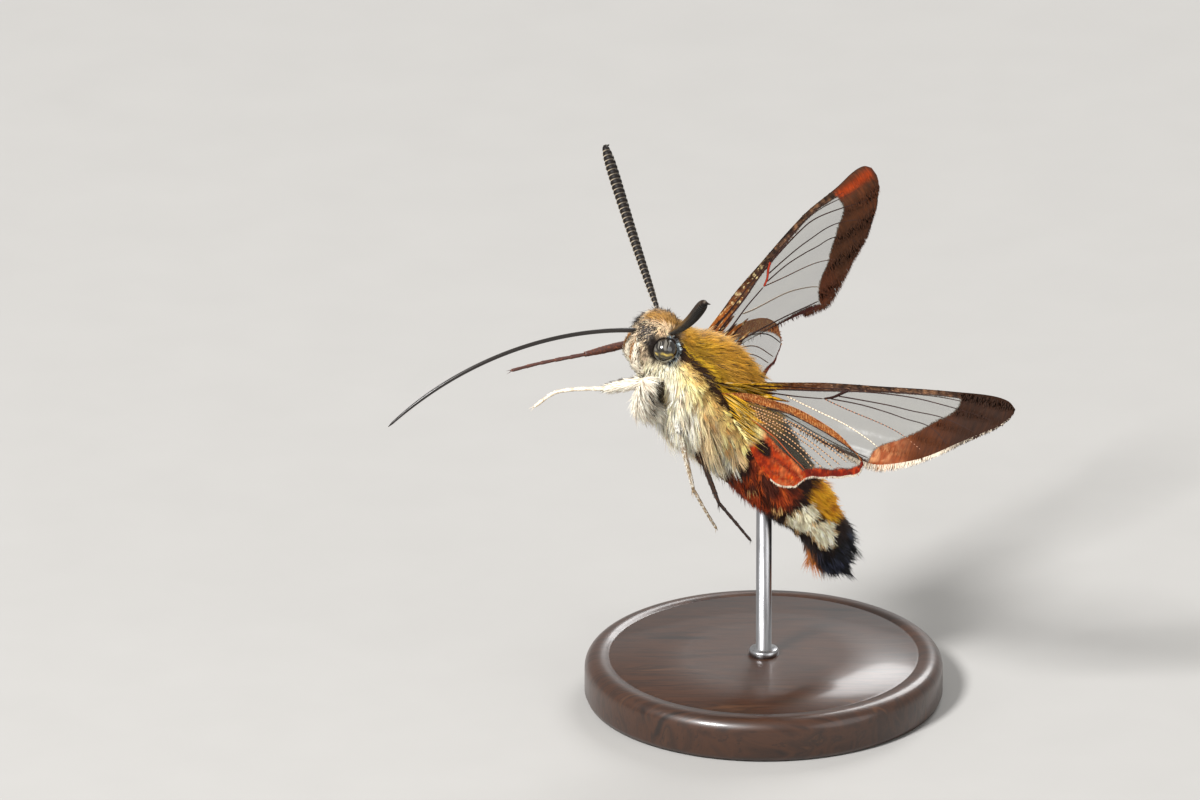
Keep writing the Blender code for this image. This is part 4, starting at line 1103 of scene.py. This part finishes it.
class Wing:  # where the points of one wing lie
    def __init__(self, plan, side):
        self.plan, self.side = plan, side
        self.base = mirrored(plan["root"], side)
        self.span = unit(np.array(plan["tip"][side]))
        self.rearward = unit(flattened(np.array([-1.0, 0, 0]), self.span))
        self.upward = np.cross(self.span, self.rearward) * (1 if side == "left" else -1)
        share = np.linspace(0, 1, 400)
        self.frontEdge, self.rearEdge = smoothPath(plan["front"], share), smoothPath(plan["rear"], share)

    def edges(self, u):
        return np.interp(u, *self.frontEdge.T), np.interp(u, *self.rearEdge.T)

    def spread(self, along, across):  # places in the plane from two shares, 0 to 1
        front, rear = smoothPath(self.plan["front"], along), smoothPath(self.plan["rear"], along)
        return front + (rear - front) * np.asarray(across)[..., None]

    def at(self, place):
        u, v = place[..., 0], place[..., 1]
        first, last = self.plan["twist"][self.side]
        angle = np.radians(first + (last - first) * ramp(u, 0, self.plan["twistSpan"]))[..., None]
        chord = np.cos(angle) * self.rearward + np.sin(angle) * self.upward
        normal = np.cos(angle) * self.upward - np.sin(angle) * self.rearward
        front, rear = self.edges(u)
        across = np.clip((v - front) / np.maximum(rear - front, 1e-3), 0, 1)
        swing, widening = self.plan["bend"][self.side]
        v = v + (swing + widening * across) * ramp(u, 13.5, 18.5)
        lift = self.plan["camber"] * np.sin(np.pi * across) * np.minimum(1, (rear - front) / 3)
        pleat = 0.05 * np.sin(v * 5.2 - u * 0.9) * ramp(u, 1.5, 4) * ramp(rear - front, 0.6, 2.0)
        point = self.base + self.span * u[..., None] + chord * v[..., None]
        return point + normal * (lift + pleat)[..., None], normal, chord


def besideLine(place, line):  # signed distance from a line; positive on its right as it runs
    dense = smoothPath(line, np.linspace(0, 1, 60))
    start, run = dense[:-1], np.diff(dense, axis=0)
    gap = place[..., None, :] - start
    along = np.clip((gap * run).sum(-1) / (run**2).sum(-1), 0, 1)
    off = gap - along[..., None] * run
    distance = np.linalg.norm(off, axis=-1)
    nearest = distance.argmin(-1)
    closest = np.take_along_axis(off, nearest[..., None, None], -2)[..., 0, :]
    turn = run[nearest][..., 0] * closest[..., 1] - run[nearest][..., 1] * closest[..., 0]
    return np.sign(-turn) * distance.min(-1)


def wingZones(wing, place):  # how far inside each covered zone a place lies; below 0 is outside it
    u, v = place[..., 0], place[..., 1]
    front, rear = wing.edges(u)
    plan = wing.plan
    coarse, fine, beat = plan["baseWaves"]
    zones = dict(costa=smoothKeys(plan["costaWidth"], u) - (v - front),
                 base=plan["baseReach"] + coarse * np.sin(v * 7) + fine * np.sin(v * beat) - u)
    if plan is forewing:
        return dict(zones, border=besideLine(place, plan["border"]),
                    hem=smoothKeys(plan["hemWidth"], u) - (rear - v))
    margin = smoothKeys(plan["marginWidth"], u) - (rear - v) * 0.80
    return dict(zones, border=np.where(u > plan["marginFrom"], margin, -1.0),
                hem=-besideLine(place, plan["anal"]))


def streaked(v, noise, under):  # golden and dark streaks that run out from a wing's root
    stripes = np.sin(v * 15 + noise * 2.5) + 0.6 * np.sin(v * 31 + 1.0)
    return layered(wingTones["costaOrange"], wingTones,
                   ("baseYellow", under * np.ones(np.shape(v))),
                   ("baseDark", ramp(stripes, 0.0, 0.5)),
                   ("basePale", ramp(stripes, -0.9, -1.3) * 0.7))


def forewingTint(place, zone, noise, under):  # under is 1 for the underside and 0 for the upper side
    u = place[..., 0]
    below = layered(wingTones["underTornus"], wingTones,
                    ("underMiddle", ramp(u, 11.8, 14.5)),
                    ("underApex", ramp(u, 14.5, 17.5)),
                    ("underPink", ramp(u, 14.0, 11.0) * ramp(noise, 0.40, 0.7) * 0.9))
    streak = bell(place[..., 1] - 0.10 * (u - 17.4) + 0.42, 0, 0.22)
    streak = streak * ramp(u, 15.6, 17.0) * ramp(u, 20.9, 20.2)
    above = layered(wingTones["overTornus"], wingTones,
                    ("overMiddle", ramp(u, 12, 14)),
                    ("overApex", ramp(u, 16.0, 19.5) * ramp(noise, 0.2, 0.6)),
                    ("overStreak", streak * 0.9))
    barred = (1 - under) * ramp(u, 9.5, 7.5)  # mottled above, near the body
    bars = np.sin(u * fullTurn / 0.42 + noise * 6)
    return layered(wingTones["costa"], wingTones,
                   ("costaDark", ramp(noise, 0.45, 0.7)),
                   ("costaPale", ramp(noise, 0.38, 0.2) * 0.6),
                   ("costaOrange", ramp(u, 9, 4) * 0.6 * ramp(noise, 0.3, 0.6)),
                   ("basePale", ramp(bars, 0.55, 0.9) * ramp(noise, 0.6, 0.45) * 0.75 * barred),
                   ("baseDark", ramp(bars, -0.1, -0.5) * 0.7 * barred),
                   (streaked(place[..., 1], noise, under), ramp(u, 5.2, 3.2)),
                   (blend(above, below, under), ramp(zone["border"], -0.15, 0.15)),
                   ("hem", ramp(zone["hem"], -0.05, 0.1) * ramp(zone["border"], 0.3, 0.0)))


def hindwingTint(place, zone, noise, under):
    u, v = place[..., 0], place[..., 1]
    bars = np.sin(u * fullTurn / 0.22 + noise * 3)  # fine bars across the front band
    costa = layered(wingTones["hindCosta"], wingTones,
                    ("hindCostaPale", ramp(bars, 0.2, 0.8) * 0.8),
                    ("hindMargin", ramp(bars, -0.4, -0.9) * 0.7))
    margin = blend(wingTones["hindMargin"], wingTones["analRed"], ramp(noise, 0.5, 0.8))
    # the salmon highlights on the red patch are painted light; its dark patches and streaks are painted shade
    # mixed with real dark hair lines
    salmonHighlight = bell(zone["hem"], 0.35, 0.30) * 0.7 + ramp(zone["hem"], 1.3, 1.7) * ramp(u, 2.6, 4.0) * 0.5
    anal = layered(wingTones["analRed"], wingTones,
                   ("hindMargin", ramp(noise, 0.45, 0.8) * 0.8),
                   ("baseYellow", ramp(noise, 0.25, 0.1) * 0.3),
                   ("analSalmon", salmonHighlight * ramp(noise, 0.35, 0.65) * ramp(u, 1.6, 2.6)),
                   ("hindMargin", ramp(np.sin(v * 11 + u * 5 + noise * 4), 0.3, 0.9) * 0.45),
                   ("analCream", ramp(np.hypot(u - 0.8, v - 1.6), 2.5, 1.7)),
                   ("analSpot", ramp(np.hypot(u - 2.6, (v - 3.6) * 0.85), 0.78, 0.5)))
    return layered(costa, wingTones,
                   (streaked(v, noise, under), ramp(u, 3.6, 2.0) * ramp(zone["costa"], 0.1, -0.2)),
                   (margin, ramp(zone["border"], -0.1, 0.1)),
                   (anal, ramp(zone["hem"], -0.1, 0.1)))


def wingMaterial():
    material, tree = startMaterial("membrane")
    cover = stored(tree, "cover", out=2)
    ripple = grainOf(tree, 0.45, 2.0)
    edge = grainOf(tree, 0.10, 2.0)
    streak = noiseOn(tree, stretched(tree, stored(tree, "place", out=1), (7.0, 1.1, 1.0)), 1.0, 3.0)
    solid = ((cover + edge * 0.30 + streak * 0.20 - 0.25) * 7.0).clamped()
    shade = ((streak - 0.5) * 2.4 + 0.5).clamped().mixed((0.60, 0.58, 0.56, 1), (1.38, 1.36, 1.30, 1))
    glass = ripple.mixed(opaque("5c5a4a"), opaque("3c3e36"))
    return finishMaterial(material, tree, {
        "Base Color": solid.mixed(glass, stored(tree, "tint").shaded(shade)), "Alpha": 0.20 + solid * 0.78,
        "Roughness": 0.25 + solid * 0.45, "Specular IOR Level": 0.15,
        "Coat Weight": (1 - solid) * 0.25, "Coat Roughness": 0.2,
        "Normal": bumpFrom(tree, ripple + solid * streak * 0.5, 0.06, 0.6)})


def flatNoise(place, size, seed):
    return softNoise(np.concatenate([place, 0 * place[..., :1]], -1), size, seed)


def buildMembrane(name, wing, tintOf, material):
    rows, columns = membrane["rows"], membrane["columns"]
    along, across = np.linspace(0, 1, rows) * membrane["lastRow"], np.linspace(0, 1, columns)
    place = wing.spread(*np.meshgrid(along, across, indexing="ij"))
    point, normal = wing.at(place)[:2]
    zone = wingZones(wing, place)
    cover = np.maximum.reduce([zone["border"], zone["costa"], zone["base"] * 0.5, zone["hem"]])
    noise = flatNoise(place, 0.25, 9)
    tint = [tintOf(place, zone, noise, under).reshape(-1, 3) * 0.85 for under in (0.0, 1.0)]
    thin = normal * membrane["halfThickness"]
    sheets = np.concatenate([(point + thin).reshape(-1, 3), (point - thin).reshape(-1, 3)])
    u, v = place[..., 0], place[..., 1]
    slanted = np.stack([u + 0.3 * v, v, 0 * u], -1).reshape(-1, 3)
    count = rows * columns
    top = gridFaces(rows, columns, wrap=False)
    k = np.arange(count).reshape(rows, columns)
    rim = np.concatenate([k[:, 0], k[-1, 1:], k[-2::-1, -1], k[0, -2:0:-1]])
    nextRim = np.roll(rim, -1)
    wall = np.stack([rim, nextRim, nextRim + count, rim + count], -1)
    faces = [np.concatenate([top[:, ::-1], top + count, wall])]
    makePiece(name + "_membrane", toWorld(sheets), faces, material, (name,),
              dict(cover=np.tile(cover.ravel(), 2), tint=np.concatenate(tint),
                   place=np.tile(slanted, (2, 1))))


def buildVeins(name, wing, material):
    sides = membrane["veinSides"]
    parts, colours = [], []
    for number, (thick, thin, tone, points) in enumerate(wing.plan["veins"]):
        length = reachOf(np.array(points))[-1]
        rows = max(12, int(length / membrane["veinRow"]))
        share = np.linspace(0, 1, rows)
        path, normal, chord = wing.at(smoothPath(points, share))
        width = (thick + (thin - thick) * share) * 0.5
        beat = softNoise(np.column_stack([share * length, share * 0 + number, share * 0]), 0.6, 11)
        pale = np.zeros(rows)
        # white, pink and bead veins carry painted glints: pale beads of reflected light by turns along dark
        # veins, shown mostly on the underside
        if tone in ("white", "pink", "bead"):  # light and dark by turns
            start, full = dict(white=(-1.0, -0.4), pink=(0.1, 0.9), bead=(-0.3, 0.3))[tone]
            pale = ramp(np.sin(share * length * fullTurn / 0.24 + 6 * beat + number), start, full)
            width = width * (0.75 + 0.35 * pale)
        width = width * np.minimum(1, np.minimum(share, 1 - share) * 30 + 0.2)
        rings = tubeRings(path, width, sides, squash=0.8, around=chord[0])
        parts.append(closedRings(rings, path[0], path[-1]))
        up = ((rings - path[:, None]) @ normal[0] > 0.01).ravel()
        dark = blend(wingTones["dark"], wingTones["hem"], beat * 0.6)
        if tone in ("orange", "spot"):
            dark = wingTones[tone] * np.ones((rows, 1))
        # painted glints, kept mostly off the upper face
        colour = layered(np.repeat(dark, sides, axis=0), wingTones,
                         (tone, np.repeat(pale, sides) * (1 - 0.85 * up)),
                         ("spotRed", up * (tone == "spot") * 1.0))  # the spot is red above
        colours.append(np.concatenate([colour, colour[:1], colour[-1:]]))
    points, faces = joined(parts)
    makePiece(name + "_veins", toWorld(points), faces, material, (),
              dict(tint=np.concatenate(colours)))


def wingHair(wing, place, face, off, lay, length, width, tint, lift):  # face is 1 above, -1 below
    count = len(place)
    point, normal = wing.at(place)[:2]
    # hairs painted darker at the root, as painted shade, and lighter at the tip
    return dict(root=point + normal * (face * off)[:, None], normal=normal * face[:, None], lay=unit(lay),
                length=length, lift=np.radians(lift), droop=np.zeros(count), width=width, tint=tint * 0.75,
                tip=np.clip(tint * 1.12, 0, 1), sway=np.zeros((count, 3)),
                patch=np.stack([0.05 + place[:, 0] / 24, 0.4 + place[:, 1] / 16], -1))


def closeScales(wing, tintOf, rng):  # they lie on both faces wherever the wing isn't clear
    plan = wing.plan
    place = wing.spread(rng.random(60000), rng.random(60000))
    front, rear = wing.edges(place[:, 0])
    place = place[rng.random(len(place)) < (rear - front) / (rear - front).max()]
    zone = wingZones(wing, place)
    inside = np.maximum.reduce([zone["border"], zone["costa"], zone["hem"]])
    chosen = np.flatnonzero(inside + rng.normal(0, 0.03, len(place)) > 0.08)[:plan["scales"]]
    place = place[chosen]
    zone = {key: value[chosen] for key, value in zone.items()}
    count = len(place)
    chord = wing.at(place)[2]
    face = rng.choice([-1, 1], count)
    tint = tintOf(place, zone, flatNoise(place, 0.18, 12), (face < 0) * 1.0)
    tint = tint * rng.uniform(0.75, 1.25, (count, 1))
    onCosta = ramp(zone["costa"], -0.05, 0.05) * ramp(zone["border"], 0.2, -0.1)
    lay = blend(wing.span * -0.30 + chord * 0.95, wing.span * 0.95 + chord * 0.15, onCosta)
    if plan is hindwing:
        lay = blend(lay, wing.span * -0.6 + chord * 0.8, ramp(zone["hem"], 0, 0.3))
    return wingHair(wing, place, face, 0.016, lay + rng.normal(0, 0.08, (count, 3)),
                    (0.26 - 0.06 * onCosta) * rng.uniform(0.7, 1.3, count),
                    rng.uniform(0.045, 0.075, count), tint, rng.uniform(1, 6, count))


def rootScales(wing, rng):  # long scales that sweep out from the root
    plan = wing.plan
    count = plan["baseHairs"]
    u = plan["baseHairReach"] * rng.random(count) ** 1.2 + 0.05
    front, rear = wing.edges(u)
    place = np.stack([u, front + (rear - front) * rng.random(count)], -1)
    face = rng.choice([-1, 1], count)
    under = (face < 0) * 1.0
    tint = streaked(place[:, 1], rng.random(count) * 0.6, under) * rng.uniform(0.75, 1.2, (count, 1))
    lay = wing.span + wing.at(place)[2] * 0.10 + rng.normal(0, 0.05, (count, 3))
    return wingHair(wing, place, face, 0.02, lay, rng.uniform(0.7, 1.3, count) * (1 + 0.6 * under),
                    rng.uniform(0.05, 0.08, count), tint, rng.uniform(2, 9, count))


def fringeHairs(wing, rng):  # along the rear edge, pale below and brown above
    plan = wing.plan
    count = plan["fringeHairs"]
    place = wing.spread(rng.uniform(plan["fringeFrom"], 0.97, count), np.ones(count))
    u = place[:, 0]
    chord = wing.at(place)[2]
    face = rng.choice([-1, 1], count)
    size = plan["fringeLength"] * rng.uniform(0.6, 1.2, count)
    tint = blend(wingTones["underMiddle"], wingTones["fringe"], (face < 0) * 1.0)
    tint = tint * rng.uniform(0.75, 1.05, (count, 1))
    if plan is forewing:  # long and pink at the rear corner, short and dark towards the tip
        size = size * (1 - 0.6 * ramp(u, 16, 20)) * (1 + 0.5 * bell(u, 12.0, 2.0))
        tint = layered(tint, wingTones,
                       ("underPink", bell(u, 11.8, 1.2) * (rng.random(count) < 0.35) * (face < 0)),
                       ("underApex", ramp(u, 15, 18) * (rng.random(count) < 0.85)))
    hair = wingHair(wing, place, face, 0.02, chord - wing.span * 0.25 + rng.normal(0, 0.08, (count, 3)), size,
                    rng.uniform(0.025, 0.05, count), tint, rng.uniform(-2, 5, count))
    hair["root"] = hair["root"] - chord * 0.03  # rooted just inside the edge
    return hair


def buildWings(hairMaterial):
    clear = wingMaterial()
    kinds = (("forewing", forewing, forewingTint), ("hindwing", hindwing, hindwingTint))
    seed = 90
    for side in bothSides:
        for kind, plan, tintOf in kinds:
            wing = Wing(plan, side)
            name = kind + "_" + side
            buildMembrane(name, wing, tintOf, clear)
            buildVeins(name, wing, hairMaterial)
            rng = np.random.default_rng(seed)
            hairs = [closeScales(wing, tintOf, rng), rootScales(wing, rng), fringeHairs(wing, rng)]
            merged = {key: np.concatenate([hair[key] for hair in hairs]) for key in hairs[0]}
            growHairs(name + "_scales", merged, hairMaterial, seed + 100, flatness=0.3)
            seed += 1
    print("wings made")


stand = dict(
    edge=0.9, sides=160, centreHole=0.6, grooveDepth=0.10, grooveIn=(0.5, 0.58, 0.74, 0.82),
    foot=((-0.4, 0.0), (-0.12, 0.10), (0.0, 0.40)),  # from the rim: how far in, how high
    collar=((1.9, 0.0), (1.9, 0.30), (1.7, 0.42), (1.0, 0.46)),  # rod radii, height above the base
    grain=((0.30, "1c0e07"), (0.48, "3a2010"), (0.60, "29160b"), (0.75, "4c2e19")), pore="1c0e07",
    steelDark="9a9a9c", steelPale="c8c8ca",
)


def standBox(name):
    low, high = (np.array(corner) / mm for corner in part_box(name))
    return low, high, (high - low)[0] / 2


def turnedPiece(name, profile, centre, turn, material, replaced):  # profile rows: radius, height
    radius, height = np.array(profile).T[..., None]
    rings = np.stack([centre[0] + radius * np.cos(turn), centre[1] + radius * np.sin(turn),
                      height * np.ones(len(turn))], -1)
    tips = [(centre[0], centre[1], profile[k][1]) for k in (0, -1)]
    points, faces = closedRings(rings, *tips)
    makePiece(name, points * mm, faces, material, (replaced,))


def woodMaterial():
    material, tree = startMaterial("walnut")
    place = stretched(tree, objectSpot(tree), (0.35, 3.2, 1.0), turn=0.3)
    grain = noiseOn(tree, place, 420.0, 6.0, distortion=0.8)
    pores = noiseOn(tree, place, 2400.0, 3.0)
    colour = tree.node("ValToRGB", dict(stops=stand["grain"]), {"Fac": grain})
    finish = (tree.maths("LESS_THAN", pores, 0.36) * 0.5).mixed(colour, opaque(stand["pore"]))
    return finishMaterial(material, tree, {"Base Color": finish, "Roughness": 0.30 + grain * 0.2,
                                           "Coat Weight": 0.35, "Coat Roughness": 0.15,
                                           "Normal": bumpFrom(tree, pores, 0.02, 0.3)})


def steelMaterial():
    material, tree = startMaterial("steel")
    brushed = noiseOn(tree, stretched(tree, objectSpot(tree), (1.0, 1.0, 0.05)), 9000.0, 2.0)
    colour = brushed.mixed(opaque(stand["steelDark"]), opaque(stand["steelPale"]))
    return finishMaterial(material, tree, {"Base Color": colour, "Metallic": 1.0,
                                           "Roughness": 0.22 + brushed * 0.15,
                                           "Normal": bumpFrom(tree, brushed, 0.005, 0.2)})


def buildStand():
    low, high, radius = standBox("stand_base")
    top, edge = high[2], stand["edge"]
    profile = [(stand["centreHole"], 0.0)] + [(radius + out, up) for out, up in stand["foot"]]
    for bend in np.linspace(0, np.pi / 2, 12):
        profile.append((radius - edge * (1 - math.cos(bend)), top - edge * (1 - math.sin(bend))))
    for inward, depth in zip(stand["grooveIn"], (0, stand["grooveDepth"], stand["grooveDepth"], 0)):
        profile.append((radius - edge - inward, top - depth))
    profile += [((radius - edge - 0.5) * 0.5, top), (1.0, top)]
    turn = ringAngles(stand["sides"])
    centre = (low + high) / 2
    turnedPiece("stand_base_turned", profile, centre, turn, woodMaterial(), "stand_base")
    low, high, radius = standBox("stand_rod")
    profile = [(radius * 0.8, low[2]), (radius, low[2] + 0.1), (radius, top - 0.02)]
    profile += [(radius * wide, top + up) for wide, up in stand["collar"]]
    profile += [(radius, high[2] - 0.1), (radius * 0.8, high[2])]
    turnedPiece("stand_rod_turned", profile, (0, 0), turn[::3], steelMaterial(), "stand_rod")
    print("stand made")


camera = dict(elevation=22.0, lens=1000.0, sensor=36.0, imageWidth=1200, imageHeight=800, scale=15.65,
              thoraxAt=(703.4, 392.0), clip=(0.01, 50))


def buildCamera():  # puts the thorax at its place in the frame, at the scale in frame points to the mm
    elevation = math.radians(camera["elevation"])
    right = np.array([1.0, 0, 0])
    forward = np.array([0, math.cos(elevation), -math.sin(elevation)])
    up = np.cross(right, forward)
    thoraxX, thoraxY = camera["thoraxAt"]
    aim = np.array(attitude["thorax"]) - right * (thoraxX - camera["imageWidth"] / 2) / camera["scale"]
    aim = aim - up * (camera["imageHeight"] / 2 - thoraxY) / camera["scale"]
    distance = camera["imageWidth"] / camera["scale"] * camera["lens"] / camera["sensor"]
    lens = bpy.data.cameras.new("camera")
    lens.lens, lens.sensor_width = camera["lens"], camera["sensor"]
    lens.clip_start, lens.clip_end = camera["clip"]
    eye = bpy.data.objects.new("camera", lens)
    bpy.context.scene.collection.objects.link(eye)
    eye.location = Vector((aim - forward * distance) * mm)
    eye.rotation_euler = Matrix((right, up, -forward)).transposed().to_euler()
    bpy.context.scene.camera = eye


studio = dict(
    floorRadius=4.0, floorSides=96, floorDrop=0.00002, floorDark="9f9d9a", floorPale="a3a19e",
    # place, size and power of each lamp
    lamps=dict(key=((-0.42, -0.52, 0.62), 0.20, 14.5), fill=((0.60, -0.45, 0.30), 0.6, 1.6),
               back=((0.25, 0.60, 0.50), 0.4, 3.6)),
    aim=(0, 0, 0.02), sky=0.45, skyColour=(1.0, 0.99, 0.97, 1),
)


def addLamp(name, place, size, power):
    lamp = bpy.data.lights.new(name, "AREA")
    lamp.shape, lamp.size, lamp.energy = "DISK", size, power
    thing = bpy.data.objects.new(name, lamp)
    bpy.context.scene.collection.objects.link(thing)
    thing.location = place
    thing.rotation_euler = (Vector(studio["aim"]) - Vector(place)).to_track_quat("-Z", "Y").to_euler()


def buildStudio():
    turn = ringAngles(studio["floorSides"])
    edge = np.stack([studio["floorRadius"] * np.cos(turn), studio["floorRadius"] * np.sin(turn),
                     np.full(len(turn), -studio["floorDrop"])], -1)
    mesh = bpy.data.meshes.new("floor")
    mesh.from_pydata(edge.tolist(), [], [list(range(len(turn)))])
    floor = bpy.data.objects.new("floor", mesh)
    bpy.context.scene.collection.objects.link(floor)
    material, tree = startMaterial("floorPaper")
    paper = grainOf(tree, 6.0, 2.0).mixed(opaque(studio["floorDark"]), opaque(studio["floorPale"]))
    mesh.materials.append(finishMaterial(material, tree, {"Base Color": paper, "Roughness": 0.9}))
    for name, settings in studio["lamps"].items():
        addLamp(name, *settings)
    world = bpy.data.worlds.new("studio")
    world.use_nodes = True
    sky = world.node_tree.nodes["Background"].inputs
    sky["Color"].default_value, sky["Strength"].default_value = studio["skyColour"], studio["sky"]
    bpy.context.scene.world = world
    bpy.context.scene.view_settings.view_transform = "Standard"
    print("studio made")


buildCamera()
buildStudio()
buildStand()
buildSkin()
buildCoat()
buildEyes()
limbHair = coatMaterial("limbHair", 0.6, 0.02)
buildPalps(limbHair)
buildFeelers(limbHair)
buildTongue()
buildLegs(limbHair)
buildWings(limbHair)
